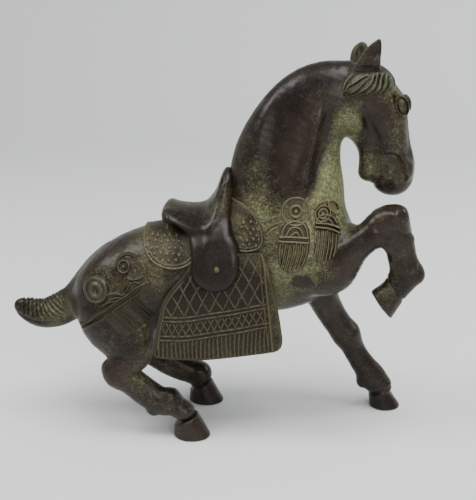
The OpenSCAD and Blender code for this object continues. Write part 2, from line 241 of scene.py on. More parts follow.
TAIL = [[-94, 0, 91.2, 11.6, 9], [-106, 0, 81.4, 11.0, 8.6], [-116, 0, 75.4, 11.0, 8.2], [-124, 0, 72.4, 10.3, 7.8],
        [-131, 0, 72.6, 9.6, 7.2], [-137, 0, 74.6, 8, 6.2], [-141.5, 0, 76.8, 5.2, 4.6], [-143.8, 0, 78, 2.4, 2.6]]
HEAD = [[60, 0, 213, 21.4, 14.5], [71, 0, 215.6, 19.4, 14], [80, 0, 210.4, 19.6, 13.8], [85.2, 0, 203, 17.8, 13.2],
        [89.4, 0, 193, 15.2, 11.2], [92.0, 0, 182, 14.8, 10.2], [95.4, 0, 172, 14.0, 9.8], [96.8, 0, 166, 12, 9.4]]


def mirror(st):
    return [[s[0], -s[1], s[2], s[3], s[4]] for s in st]


def shift(st, i0, dx, dz=0.0):
    return [[s[0] + (dx if i >= i0 else 0), s[1], s[2] + (dz if i >= i0 else 0), s[3], s[4]] for i, s in enumerate(st)]


HIND_R = mirror(HIND)
HIND_L = [[-74, 13, 94, 24, 15], [-77.6, 17, 80, 23.8, 15.5], [-70, 20, 67, 20.5, 14], [-65, 23, 56, 15, 12],
          [-70, 25, 47.4, 11.5, 10.2], [-69, 26, 41.8, 10.4, 9], [-57.4, 26, 33.4, 9.9, 8], [-45.8, 26, 26.2, 9.6, 7.8],
          [-34.8, 26, 21.6, 8.9, 8.2], [-29, 26, 18.2, 8.1, 8.2], [-27.6, 26, 14.4, 7.2, 8.2]]

FORMS = [Tube(BARREL, 5, 4), Tube(NECK, 9, 9)]
for s in (1, -1):
    FORMS += [Ell((48, s * 11, 121, ), (18, 13, 18), 0, 8), Ell((52.4, s * 8, 131), (12.5, 11, 13), 0, 7)]
FORMS += [Tube(HIND_R, 4, 7), Tube(HIND_L, 4, 7), Tube(FORE_R, 4, 7), Tube(FORE_L, 4, 7), Tube(TAIL, 4, 5)]
# knees, hocks, fetlocks and hooves
for y, dx in ((-26, 0.0), (26, 5.0)):
    FORMS += [Ell((-79.8 + dx, y, 44.0 + dx * 0.2), (5.4, 5.6, 6.6), 35, 4), Ell((-75 + dx, y, 40), (8, 8.8, 7), 0, 4),
              Ell((-53.4 + (12.8 if dx else 0), y, 17.4 + (1.6 if dx else 0)), (4.4, 5.6, 3.6), -40, 2.0), Ell((-41.5, y, 26) if y < 0 else (-26.4, y, 21.4), (6.2, 7.4, 6.0) if y < 0 else (7.0, 7.8, 6.0), -35, 3)]
    FORMS += [Hoof((-28.0 + (4.9 if dx else 0), y, 0), 0, (11.9, 10.6), (8.2, 8.8), -3.3, 26, 13.0)]
FORMS += [Hoof((99.9, 24, 0), 0, (10.4, 10.2), (7.2, 8.4), -4.6, 20, 12.0), Ell((83.4, 24, 17.5), (3.4, 5, 4.4), 0, 3),
          Ell((72.4, 24, 52), (8.6, 9, 8.5), 0, 5)]
FORMS += [Hoof((89.6, -23, 90.6), -52.6, (10.6, 9.6), (8, 8), -2.6, 6, 12.5)]
FORMS += [Ell((111.2, -23, 110.5), (4, 5.6, 4.6), 0, 4), Ell((68.0, -16.5, 133.4), (7.5, 8.5, 7.2), 0, 5), Ell((91.3, -23, 131.8), (4.2, 6.4, 4.2), 0, 5.4), Ell((94.8, -25.5, 148.3), (8.3, 8, 6.3), 20, 4),
          Ell((98.9, -26, 143.2), (5, 6.4, 6.5), 0, 3), Ell((92, -27, 143.5), (5, 5.6, 5), 0, 3)]

FACE = [Tube(HEAD, 4, 5),
        Ell((69.5, 0, 203), (8.6, 15.6, 13.5), 10, 3.0),          # round cheeks
        Tube([[74.6, 0, 196, 8.6, 10], [78.4, 0, 186, 6.0, 7.2], [80.4, 0, 178, 5.8, 6.0], [80.8, 0, 169.0, 6.4, 6.8]], 4, 2.4),
        Ell((94.9, 0, 165.8), (12.0, 10.2, 11.2), 10, 3.6),       # upper lip
        ]
for s in (1, -1):
    FACE += [Ell((97.0, s * 9.6, 210.2), (6.1, 4.6, 7.8), -14, 2.6),     # brow and eye
             Ell((96.0, s * 7.4, 191), (4.6, 4.2, 15), 8, 4.5),           # side of the face
             Ell((101.2, s * 6.8, 171.8), (5.6, 4.6, 7.0), 15, 3.5)]      # nostrils
FORMS += [Turned(f, YAW) for f in FACE]

# carved lines of the body: [line in the side view, depth, width behind, width in front]
NECK_GROOVE = [(58.5, 217), (55.6, 210), (53.0, 200.8), (51.4, 189.4), (49.4, 180), (46.6, 170.4), (42.8, 160)]
NECK_RIDGE = [(53, 213), (49.6, 206), (47.2, 198), (45.2, 187.3), (42.8, 179), (40.4, 170), (37.8, 162), (35, 155)]
NECK_VALLEY = [(37, 222), (29.2, 213), (24.7, 198.5), (22.5, 183.5), (20.3, 168.3), (17, 153)]
NECK_BACK = [(24, 217), (15.2, 204), (11.1, 192), (8.2, 177), (5.3, 165)]
FACE_GROOVE = [(71.5, 213.5), (74, 207.6), (77, 202.3), (80.2, 196.4), (83.2, 190.4), (84.6, 184.4), (84, 179)]
NOSTRIL = [(88.6, 181.1), (92.2, 181.4), (96, 180), (98.6, 176.3), (100.3, 171.4), (101.8, 166.5)]
MOUTH = [(83.6, 159.5), (85.2, 163.4), (87.8, 166.6), (91.6, 168.2), (95, 167.4)]


def ripple(p):
    """Slow unevenness of a hand-finished casting, in millimetres."""
    x, y, z = p[:, 0], p[:, 1], p[:, 2]
    return (np.sin(x * 0.31 + 1.3 * np.sin(z * 0.17)) * np.sin(z * 0.27 + 1.1 * np.sin(y * 0.21)) * 0.10
            + np.sin(x * 0.83 + z * 0.41 + 2.0) * np.sin(z * 0.77 - x * 0.29 + y * 0.5) * 0.05).astype(F)


def body(p):
    """Distance to the bare horse."""
    p = np.ascontiguousarray(p, F)
    f = np.full(len(p), 40.0, F)
    x, y, z = p[:, 0], p[:, 1], p[:, 2]
    for form in FORMS:
        m = np.flatnonzero((x > form.lo[0]) & (x < form.hi[0]) & (y > form.lo[1]) & (y < form.hi[1]) & (z > form.lo[2]) & (z < form.hi[2]))
        if len(m):
            f[m] = smin(f[m], form.dist(p[m]), form.k)
    # neck modelling
    m = np.flatnonzero((z > 146) & (z < 232) & (x > -12) & (x < 68) & (f < 9))
    if len(m):
        xx, zz = x[m], z[m]
        d, s, w = line2(xx, zz, NECK_GROOVE, 3)
        ends = smooth(w, 0.0, 0.16) * (1 - smooth(w, 0.72, 1.0))
        back = s < 0
        f[m] += (3.3 * ends * np.where(back, gauss(d, 3.6), gauss(d, 5.2))).astype(F)
        d, s, w = line2(xx, zz, NECK_RIDGE, 3)
        f[m] -= ((2.3 * gauss(d, 3.4) + 0.55 * gauss(d, 1.7)) * smooth(w, 0, 0.2) * (1 - smooth(w, 0.75, 1))).astype(F)
        d, s, w = line2(xx, zz, NECK_VALLEY, 3)
        f[m] += (2.9 * gauss(d, 7.5) * smooth(w, 0, 0.35) * (1 - smooth(w, 0.75, 1))).astype(F)
        d, s, w = line2(xx, zz, NECK_BACK, 3)
        f[m] -= (1.3 * gauss(d, 5.0) * smooth(w, 0, 0.25) * (1 - smooth(w, 0.75, 1)) * smooth(np.abs(y[m]), 3, 8)).astype(F)
    # face modelling
    m = np.flatnonzero((z > 150) & (z < 226) & (x > 62) & (x < 118) & (f < 6))
    if len(m):
        q = unturn(p[m])
        xx, zz, ay = q[:, 0], q[:, 2], np.abs(q[:, 1])
        d, s, w = line2(xx, zz, FACE_GROOVE, 3)
        f[m] += (1.9 * gauss(d, 2.9) * smooth(w, 0, 0.12) * (1 - smooth(w, 0.75, 1)) * smooth(ay, 3, 7)).astype(F)
        d, s, w = line2(xx, zz, NOSTRIL, 3)
        f[m] += (0.85 * gauss(d, 0.95) * smooth(ay, 1.5, 4)).astype(F)
        f[m] -= (0.5 * gauss(np.where(s > 0, d, d + 3) - 1.7, 1.2) * smooth(ay, 1.5, 4)).astype(F)
        d, s, w = line2(xx, zz, MOUTH, 3)
        f[m] += (0.75 * gauss(d, 0.8) * (1 - smooth(w, 0.4, 0.9))).astype(F)
        # eye: socket, two lids and the ball, and the crease behind
        ex, ez = xx - 97.0, zz - 210.9
        t = math.radians(18)
        u, v = ex * math.cos(t) + ez * math.sin(t), ez * math.cos(t) - ex * math.sin(t)
        r = np.sqrt((u / 2.8) ** 2 + (v / 4.9) ** 2)
        eye = smooth(ay, 6, 9)
        f[m] += (eye * (0.75 * gauss(r - 0.98, 0.16) - 0.65 * gauss(r - 1.30, 0.15) + 0.5 * gauss(r - 1.62, 0.16) + 0.32 * gauss(np.hypot(u - 0.2, v), 0.8))).astype(F)
        d, s, w = line2(xx, zz, [(92.1, 218.0), (92.2, 214.9), (92.9, 212.4), (94.1, 209.0), (96.6, 205.4)], 3)
        f[m] += (0.7 * gauss(d, 0.75) * eye * smooth(w, 0, 0.15) * (1 - smooth(w, 0.8, 1))).astype(F)
        d, s, w = line2(xx, zz, [(90.2, 217.0), (90.2, 213.5), (91.0, 210.5), (92.6, 207.0)], 3)
        f[m] += (0.4 * gauss(d, 0.7) * eye * smooth(w, 0, 0.25) * (1 - smooth(w, 0.7, 1))).astype(F)
        # nostril hole
        f[m] += (1.6 * gauss(np.hypot(xx - 102.6, (zz - 171.6) * 0.8), 1.6) * smooth(ay, 3, 5.5)).astype(F)
    # tail ribs, cut round the tuft
    m = np.flatnonzero((x < -104) & (f < 4))
    if len(m):
        xx, zz = x[m], z[m]
        d, s, w = line2(xx, zz, [(t[0], t[2]) for t in TAIL[1:]], 3)
        low = smooth(-s * d, -5.5, 0.5)
        f[m] += (1.15 * (0.5 - 0.5 * np.cos((w + 0.012 * s * d) * 2 * math.pi * 12)) ** 1.5 * low * smooth(w, 0.12, 0.24) * (1 - smooth(w, 0.93, 1.0)) + 0.7 * gauss(s * d - 4.2, 0.9) * smooth(w, 0.25, 0.4) * (1 - smooth(w, 0.9, 1))).astype(F)
    # coronets: a fine step above each hoof
    m = np.flatnonzero((z < 34) & (f < 4))
    if len(m):
        xx, yy, zz = x[m], y[m], z[m]
        for cx, cz, yc, tl in ((-31.3, 13, -26, 26), (-26.4, 13, 26, 26), (95.3, 12, 24, 20)):
            t = math.radians(tl)
            h = (zz - cz) * math.cos(t) - (xx - cx) * math.sin(t)
            near = (np.abs(yy - yc) < 14) & (np.abs(xx - cx) < 18)
            f[m] += (near * 0.7 * gauss(h - 0.4, 0.8)).astype(F)
    m = np.flatnonzero((x > 80) & (z < 116) & (z > 78) & (y < 0) & (f < 4))
    if len(m):
        h = (x[m] - 89.6) * 0.794 + (z[m] - 90.6) * 0.607
        f[m] += (0.7 * gauss(h - 12.9, 0.8)).astype(F)
    # two small bosses on the raised knee
    m = np.flatnonzero((x > 86) & (x < 108) & (z > 136) & (z < 160) & (y < -18) & (f < 4))
    if len(m):
        xx, zz = x[m], z[m]
        f[m] -= ((1.2 * gauss(np.hypot(xx - 94.9, (zz - 150.2) * 0.72), 2.1) + 1.1 * gauss(np.hypot(xx - 100.2, zz - 145.6), 1.7) + 0.6 * gauss(np.hypot(xx - 93.6, zz - 144.2), 1.7)) * smooth(-y[m], 24, 28)).astype(F)
    # knee creases on the raised leg
    m = np.flatnonzero((x > 78) & (x < 116) & (z > 100) & (z < 160) & (y < -8) & (f < 4))
    if len(m):
        d, s, w = line2(x[m], z[m], [(96, 141), (101, 138.5), (107, 137)], 2)
        f[m] += (0.6 * gauss(d, 1.3)).astype(F)
        d, s, w = line2(x[m], z[m], [(84, 142), (89, 138), (91, 133)], 2)
        f[m] += (0.9 * gauss(d, 2.4)).astype(F)
        d, s, w = line2(x[m], z[m], [(108, 131), (110.5, 122), (111, 114)], 2)
        f[m] += (0.5 * gauss(d, 1.2)).astype(F)
    near = np.flatnonzero(f < 6)
    f[near] += ripple(p[near])
    return f


# ------------------------------------------------------------------ surface nets
def grid_points(lo, n, h):
    a = [lo[i] + h * np.arange(n[i]) for i in range(3)]
    g = np.stack(np.meshgrid(*a, indexing="ij"), -1).reshape(-1, 3)
    return g.astype(F)


def field_blocks(fn, lo, hi, h, b=8, slack=1.45, chunk=400000):
    """A field on a fine grid, worked out only in blocks that the surface may cross."""
    n = [int(math.ceil((hi[i] - lo[i]) / h / b)) for i in range(3)]
    centres = grid_points([lo[i] + h * (b - 1) / 2 for i in range(3)], n, h * b)
    fc = np.concatenate([fn(centres[i:i + chunk]) for i in range(0, len(centres), chunk)])
    half = h * b * math.sqrt(3) / 2
    on = np.abs(fc) < half * slack + 0.8
    full = np.repeat(np.repeat(np.repeat(fc.reshape(n), b, 0), b, 1), b, 2).astype(F)
    ids = np.flatnonzero(on)
    off = grid_points((0, 0, 0), (b, b, b), h)
    bi = np.stack(np.unravel_index(ids, n), -1)
    step = max(1, chunk // b ** 3)
    for i in range(0, len(ids), step):
        part = bi[i:i + step]
        base = (np.array(lo, F) + part.astype(F) * F(h * b))
        pts = (base[:, None, :] + off[None]).reshape(-1, 3)
        v = fn(pts).reshape(len(part), b, b, b)
        for q, (u, w, t) in enumerate(part):
            full[u * b:u * b + b, w * b:w * b + b, t * b:t * b + b] = v[q]
    return full


def nets(f, lo, h):
    """Surface nets: vertices and quads of the zero surface, facing outwards."""
    s = f < 0
    c = np.zeros([k - 1 for k in f.shape], np.uint8)
    for a in (0, 1):
        for b in (0, 1):
            for d in (0, 1):
                c += s[a:a + c.shape[0], b:b + c.shape[1], d:d + c.shape[2]]
    cells = np.flatnonzero((c > 0) & (c < 8))
    i, j, k = np.unravel_index(cells, c.shape)
    corner = {}
    for a in (0, 1):
        for b in (0, 1):
            for d in (0, 1):
                corner[a, b, d] = f[i + a, j + b, k + d]
    acc = np.zeros((len(cells), 3))
    cnt = np.zeros(len(cells))
    for ax in range(3):
        for e in ((0, 0), (0, 1), (1, 0), (1, 1)):
            o = list(e)
            o.insert(ax, 0)
            p = list(e)
            p.insert(ax, 1)
            v0, v1 = corner[tuple(o)], corner[tuple(p)]
            m = (v0 < 0) != (v1 < 0)
            t = np.where(m, v0 / np.where(m, v0 - v1, 1), 0)
            for q in range(3):
                acc[:, q] += np.where(m, o[q] + (t if q == ax else 0), 0)
            cnt += m
    v = np.stack([i, j, k], 1) + acc / cnt[:, None]
    index = np.full(c.shape, -1, np.int32)
    index[i, j, k] = np.arange(len(cells))
    quads = []
    for ax in range(3):
        sl0, sl1 = [slice(None)] * 3, [slice(None)] * 3
        sl0[ax], sl1[ax] = slice(0, -1), slice(1, None)
        a, b = s[tuple(sl0)], s[tuple(sl1)]
        g = np.stack(np.nonzero(a != b), 1)
        u, w = [(1, 2), (2, 0), (0, 1)][ax]
        g = g[(g[:, u] > 0) & (g[:, w] > 0) & (g[:, u] < c.shape[u]) & (g[:, w] < c.shape[w])]
        inside = a[g[:, 0], g[:, 1], g[:, 2]]

        def cell(du, dw):
            q = g.copy()
            q[:, u] += du
            q[:, w] += dw
            return index[q[:, 0], q[:, 1], q[:, 2]]
        q4 = np.stack([cell(-1, -1), cell(0, -1), cell(0, 0), cell(-1, 0)], 1)
        q4[~inside] = q4[~inside][:, ::-1]
        quads.append(q4)
    quads = np.concatenate(quads)
    quads = quads[(quads >= 0).all(1)]
    return v * h + np.array(lo), quads


def gradient(fn, v, e=0.35):
    g = np.zeros_like(v)
    for ax in range(3):
        d = np.zeros(3)
        d[ax] = e
        g[:, ax] = (fn(v + d) - fn(v - d)) / (2 * e)
    return g / (np.linalg.norm(g, axis=1)[:, None] + 1e-9)


def settle(fn, v, steps=2, most=0.5):
    """Moves vertices onto the field's surface."""
    for _ in range(steps):
        g = gradient(fn, v)
        d = np.clip(fn(v), -most, most)
        v = v - g * d[:, None]
    return v


def quad_normals(v, q):
    n = np.cross(v[q[:, 2]] - v[q[:, 0]], v[q[:, 3]] - v[q[:, 1]])
    out = np.zeros_like(v)
    for c in range(4):
        np.add.at(out, q[:, c], n)
    return out / (np.linalg.norm(out, axis=1)[:, None] + 1e-9)


def relax(v, q, times=1, w=0.5):
    for _ in range(times):
        acc = np.zeros_like(v)
        cnt = np.zeros(len(v))
        for a, b in ((0, 1), (1, 2), (2, 3), (3, 0)):
            np.add.at(acc, q[:, a], v[q[:, b]])
            np.add.at(acc, q[:, b], v[q[:, a]])
            np.add.at(cnt, q[:, a], 1)
            np.add.at(cnt, q[:, b], 1)
        v = v + w * (acc / np.maximum(cnt, 1)[:, None] - v)
    return v


def close(v, q):
    """Triangles that close each open edge loop to its middle."""
    e = np.concatenate([q[:, [0, 1]], q[:, [1, 2]], q[:, [2, 3]], q[:, [3, 0]]])
    key = e[:, 0].astype(np.int64) * (len(v) + 1) + e[:, 1]
    rev = e[:, 1].astype(np.int64) * (len(v) + 1) + e[:, 0]
    open_ = e[~np.isin(key, rev)]
    if not len(open_):
        return v, []
    nxt = {}
    for a, b in open_:
        nxt.setdefault(int(a), []).append(int(b))
    verts, tris = [v], []
    count = len(v)
    while nxt:
        start = next(iter(nxt))
        loop, cur = [start], nxt[start].pop()
        if not nxt[start]:
            del nxt[start]
        while cur != start and cur in nxt:
            loop.append(cur)
            n = nxt[cur].pop()
            if not nxt[cur]:
                del nxt[cur]
            cur = n
        mid = v[loop].mean(0)
        verts.append(mid[None])
        for i in range(len(loop)):
            tris.append((loop[(i + 1) % len(loop)], loop[i], count))
        count += 1
    return np.concatenate(verts), tris


# ------------------------------------------------------------------ Blender objects
def add(name, v, q, tris, nodes, normals, paint, material):
    """One finished piece: mesh in metres, its normals, its paint, its material and its place in the frame."""
    me = bpy.data.meshes.new(name)
    co = (v + [SX, 0, 0]) * 0.001
    tri = np.array(tris, np.int32).reshape(-1, 3)
    loops = np.concatenate([q.reshape(-1), tri.reshape(-1)]).astype(np.int32)
    me.vertices.add(len(co))
    me.vertices.foreach_set("co", co.reshape(-1).astype(F))
    me.loops.add(len(loops))
    me.loops.foreach_set("vertex_index", loops)
    me.polygons.add(len(q) + len(tri))
    starts = np.concatenate([np.arange(len(q)) * 4, len(q) * 4 + np.arange(len(tri)) * 3]).astype(np.int32)
    me.polygons.foreach_set("loop_start", starts)
    me.polygons.foreach_set("use_smooth", np.ones(len(q) + len(tri), bool))
    me.update(calc_edges=True)
    me.validate()
    full = np.zeros((len(co), 3))
    full[:len(normals)] = normals
    full[len(normals):] = (0, 0, 1)
    me.normals_split_custom_set_from_vertices(full.tolist())
    at = me.attributes.new("paint", "FLOAT_COLOR", "POINT")
    col = np.zeros((len(co), 4), F)
    col[:, 3] = 1
    col[:len(paint), :3] = paint
    at.data.foreach_set("color", col.reshape(-1))
    o = bpy.data.objects.new(name, me)
    bpy.context.scene.collection.objects.link(o)
    me.materials.append(material)
    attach(o, "root")
    if nodes:
        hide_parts(*nodes)
    return o


# ------------------------------------------------------------------ saddlery fields
def table(v, pairs):
    """A smooth curve through pairs, read at v."""
    a = spline(pairs, 8)
    return np.interp(v, a[:, 0], a[:, 1])


FLAP = [(-46, 176), (-5, 178), (-3.2, 172), (-2.4, 160), (-3.2, 148), (-3.2, 141), (-2.0, 135.4), (0.9, 130.7), (2.9, 124.8), (3.0, 117.8), (1.2, 110.6),
        (-2.2, 105.2), (-6.8, 102.2), (-12.6, 101.3), (-18.4, 102.4), (-23, 105.6), (-26, 110.6), (-26.8, 117), (-26.8, 125.2), (-29.1, 132.4), (-33.5, 137),
        (-39, 139.4), (-44, 138.8), (-47, 140.6), (-48.0, 144.5), (-47.4, 149)]
SEAT = [(-60, 142), (-50, 145.4), (-46.5, 148.2), (-42, 149.6), (-36, 148.2), (-27, 147.6), (-21, 148.8), (-18, 151.2), (-14.6, 155.6), (-12.2, 161), (-10.2, 166.4), (-7.9, 170.6), (-5, 172.3), (0, 172)]
SIDE = [(90, 39.3), (100, 39.6), (108, 39.2), (116, 38), (124, 35.6), (131, 32.2), (136, 28.6), (140, 25.2), (146, 20.2), (152, 16.6), (158, 14), (165, 10.8), (170, 7.4), (175, 2)]
RIM = [(-45.5, 147.5), (-43, 146), (-39.8, 143), (-33.8, 140.1), (-26.5, 138.6), (-18.6, 139.4), (-13.1, 143.3), (-9.9, 150.2), (-8.2, 157.9), (-7.4, 165.8), (-6.6, 170.5)]


def saddle(p):
    x, y, z = p[:, 0], np.abs(p[:, 1]), p[:, 2]
    out = inside2(x, z, FLAP, 2)
    top = (z - (table(x, SEAT) - 9.6 * (y / 24) ** 2)) * 0.82
    side = (y - table(z, SIDE)) * 0.9
    core = 1 - np.sqrt((y / 27.5) ** 2 + ((z - 107) / 35.5) ** 2)
    d = smax(smax(out * 0.9, side, 5.0), top, 5.5)
    e, s, w = line2(x, z, RIM, 3)
    on = smooth(y, 9, 14)
    d -= (on * (1.0 * gauss(e, 3.0) - 0.3 * gauss(np.where(s > 0, 9, e) - 5.4, 3.2))).astype(F)
    d = smax(d, core * 26, 1.0)
    return d.astype(F)


CLOTH = [(-24, 122), (-31, 111.5), (-38.5, 103), (-44.6, 94), (-46.9, 85), (-49.0, 74), (-50.6, 63.5), (-50.4, 59.6), (-47, 57.6), (-34, 57.0), (-20, 57.0), (-6, 58.6), (8, 60.6), (20.5, 62.6),
         (26.8, 64.6), (29.2, 69), (28.6, 76), (27, 86), (24.8, 97.5), (21.6, 110.3), (17.6, 122), (12, 128), (-10, 128)]
BAND = [(-60, 80.4), (-47, 81.6), (-36, 82.0), (-27.5, 82.9), (-18, 84.2), (-9, 85.8), (6, 89.1), (18, 91.2), (30, 93)]


def wave(v, period, width):
    """Ridge lines at a period."""
    return gauss((np.mod(v + period / 2, period) - period / 2), width)


def cloth_relief(x, z):
    out = inside2(x, z, CLOTH, 2)
    x0, z0 = x, z
    x = x0 + 0.30 * np.sin(z0 * 0.21 + 1.1 * np.sin(x0 * 0.23)) + 0.05 * np.sin(z0 * 1.3 + x0 * 0.8)
    z = z0 + 0.28 * np.sin(x0 * 0.19 + 0.9) + 0.06 * np.sin(x0 * 1.1 + z0 * 0.6)
    v = z - table(x, BAND)
    lines = np.maximum.reduce([gauss(v, 0.5), gauss(v - 2.5, 0.5), gauss(v + 9.6, 0.5), gauss(v + 12.2, 0.5)])
    inner = smooth(-out, 2.6, 3.4)
    front = smooth(22.6 - (x + (z - 64) * 0.11), 0, 0.8)
    big = np.maximum(wave(x + v / 1.9 - 2.0, 7.9, 0.42), wave(x - v / 1.9 + 1.5, 7.9, 0.42)) * smooth(v, 3.0, 3.6)
    small = np.maximum(wave(x + v / 1.9, 4.3, 0.34), wave(x - v / 1.9, 4.3, 0.34)) * smooth(-v, 1.0, 1.4) * smooth(v, -9.2, -8.8)
    ribs = wave(x, 2.6, 0.5) * smooth(-v, 12.8, 13.4) * smooth(-out, 0.9, 1.6)
    r = np.maximum.reduce([lines * inner, big * inner, small * inner, ribs]) * front
    r = r * (0.72 + 0.28 * np.sin(x0 * 0.9 + 2 * np.sin(z0 * 0.6)) * np.sin(z0 * 0.8 + x0 * 0.35))
    sides = np.maximum(gauss(23.4 - (x0 + (z0 - 64) * 0.11), 0.5), gauss(20.8 - (x0 + (z0 - 64) * 0.11), 0.45) * 0.8) * smooth(-out, 0.8, 1.6)
    r = np.maximum(r, np.maximum(sides, 0.8 * gauss(out + 2.6, 0.5) * smooth(-x0, 30, 34) * smooth(z0, 62, 66)))
    edge = gauss(out + 1.1, 0.9)
    rim = (1 - front) * 0.55
    return r, edge, rim, v, out


def cloth(p):
    x, y, z = p[:, 0], np.abs(p[:, 1]), p[:, 2]
    mid = 31.8 + (125 - z) * math.tan(math.radians(4)) - 3.2 * smooth(z, 98, 121) * smooth(-x, 12, 34) - 2.0 * smooth(z, 108, 124) * smooth(x, 2, 14)
    r, edge, rim, v, out = cloth_relief(x, z)
    face = np.where(y > mid, 1, 0)
    d = smax(out, np.abs(y - mid) - 1.65 - face * (0.85 * r + 0.25 * edge + rim * 0.85), 1.3)
    return d.astype(F)


PAD_F = [(-10, 158), (-2.7, 154.6), (2.7, 153.2), (8.7, 149.6), (13.5, 144.1), (16.6, 137.4), (16.9, 131.4), (14.2, 127.0), (8.6, 124.8), (2.7, 124.6), (-8, 126), (-16, 140)]
PAD_R = [(-20, 170), (-56.6, 170), (-57.0, 150), (-58.6, 141), (-59.0, 133), (-58.0, 126.5), (-55.2, 120.6), (-50.6, 116.2), (-44.4, 113.6), (-37.9, 112.8), (-31.6, 114), (-26, 117.3), (-20, 124)]


def beads():
    """Beads in rough rings on the pad's lobes."""
    rng = np.random.default_rng(7)
    out = []
    for cx, cz, rx, rz in ((8.6, 136.0, 6.6, 9.4), (-44.5, 125.4, 12.4, 9.6)):
        n = 0
        for i in range(-8, 9):
            for j in range(-8, 9):
                bx = (i + 0.5 * (j % 2)) * 3.7 + rng.uniform(-0.6, 0.6)
                bz = j * 3.3 + rng.uniform(-0.6, 0.6)
                if (bx / rx) ** 2 + (bz / rz) ** 2 < 1:
                    out.append((cx + bx, cz + bz, rng.uniform(0.85, 1.15)))
                    n += 1
    return out


BEADS = beads()


def pad_relief(x, z):
    outf, outr = inside2(x, z, PAD_F, 3), inside2(x, z, PAD_R, 3)
    out = np.minimum(outf, outr)
    low = smooth(z, 150, 142)
    rim = np.maximum(gauss(out + 1.0, 0.55), gauss(out + 2.9, 0.5) * 0.7) * smooth(z, 148, 140)
    b = np.zeros(x.shape)
    for bx, bz, r in BEADS:
        d2 = (x - bx) ** 2 + (z - bz) ** 2
        b = np.maximum(b, np.sqrt(np.maximum(1 - d2 / (r * r), 0)))
    return out, rim, b


def pad(p):
    x, y, z = p[:, 0], p[:, 1], p[:, 2]
    g = body(p)
    f = np.full(len(p), 9.0, F)
    m = np.flatnonzero(g < 8)
    if len(m):
        out, rim, b = pad_relief(x[m], z[m])
        h = 1.15 + 0.6 * rim + 0.6 * b
        f[m] = smax(smax(out, g[m] - h, 0.9), -(g[m] + 1.2), 0.4)
    f = np.where(g >= 8, g - 2, f)
    return f.astype(F)


# ------------------------------------------------------------------ ornament reliefs (side view)
def strands(x, z, lines, w=0.55, n=3):
    r = np.zeros(x.shape)
    for pts in lines:
        d, _, t = line2(x, z, pts, n)
        r = np.maximum(r, gauss(d, w))
    return r


T1_BELL = [(27.4, 134.6), (28.6, 139.1), (30.9, 142.6), (35.6, 144.4), (40.4, 142.8), (42.8, 139.3), (43.6, 134.3)]
T1 = [[(27.4, 131.2), (26.6, 126.8), (27.2, 119.2)], [(30.4, 131.2), (29.3, 124.3), (28.0, 117.2)], [(32.8, 130.6), (31.8, 123.7), (29.8, 115.2)],
      [(35.4, 130.7), (34.4, 123.1), (31.9, 114.2)], [(38.1, 130.1), (37.2, 123.1), (34.4, 114.6)], [(40.7, 130.1), (39.8, 123.2), (37.0, 115.6)], [(43.2, 130.8), (42.6, 124.5), (40, 117.6)]]
T2 = [[(49.5, 138.4), (48.9, 130.7), (48.2, 124.3)], [(51.7, 138.2), (51.1, 129.5), (50.0, 121.8)], [(54.0, 137.6), (53.5, 128.9), (51.9, 120.5)],
      [(56.4, 137.0), (55.8, 128.9), (54.2, 121.2)], [(58.6, 136.4), (58.1, 128.9), (56.5, 122.6)], [(60.7, 135.8), (60.2, 129.6), (58.9, 124.6)]]
STRAP_A = [(-97.6, 75.0), (-91.0, 78.7), (-86.0, 83.2), (-81.2, 86.2), (-76.3, 90.4), (-72.0, 93.7), (-66.7, 96.8), (-61.4, 101.2), (-55.6, 104.0)]
STRAP_B = [(-96.8, 72.4), (-88.4, 77.8), (-81.9, 81.5), (-76.5, 85.5), (-70.1, 90.4), (-63.7, 94.8), (-57.2, 99.8)]
LEAVES = [[(-84.9, 86.4), (-81.6, 90.4), (-77.3, 92.2), (-73.4, 93.4)], [(-86.3, 89.2), (-84.1, 93.4), (-79.8, 96.4), (-74.0, 97.6), (-69.4, 96.8)], [(-70.3, 98.3), (-68.1, 102.7), (-68.4, 107.0)],
          [(-67.2, 99.4), (-64.9, 103.3), (-61.8, 105.2), (-59.6, 103.9)], [(-66.4, 107.1), (-63.3, 106.2), (-59.7, 107.0), (-56.0, 108.9)], [(-80.4, 106.8), (-76.6, 110.7), (-74.0, 111.3)], [(-82.6, 88.4), (-79.6, 91.8), (-75.4, 94.4), (-71.4, 95.4)]]
HAIR = [[(-80.8, 84.0), (-75.7, 77.6), (-70.4, 72.4)], [(-76.8, 87.0), (-70.7, 80.4), (-65.2, 74.3)], [(-71.7, 89.5), (-64.4, 82.0), (-59.6, 76.4)], [(-66.6, 92.2), (-59.4, 84.0), (-54.8, 78.6)],
        [(-61.5, 95.6), (-55.5, 87.6), (-52.0, 83.4)], [(-57.6, 99), (-53.6, 92.6), (-50.6, 87.6)], [(-74, 88.2), (-67.5, 81.3), (-62.4, 75.3)], [(-64, 93.4), (-57.4, 86), (-53.4, 81.2)]]


def rings(x, z, c, spec, boss=0.0, br=1.4):
    d = np.hypot(x - c[0], z - c[1])
    r = np.zeros(x.shape)
    for rad, hgt, w in spec:
        r = np.maximum(r, hgt * gauss(d - rad, w))
    if boss:
        r = np.maximum(r, boss * np.sqrt(np.maximum(1 - (d / br) ** 2, 0)))
    return r, d


def sink(h, out, soft=1.6, lift=1.45):
    """Relief that stands a little proud inside its outline and sinks under the hide outside it."""
    k = smooth(-out, -soft * 0.6, soft * 0.4)
    return lift * h * k + 0.12 * k - 1.7 * (1 - k)


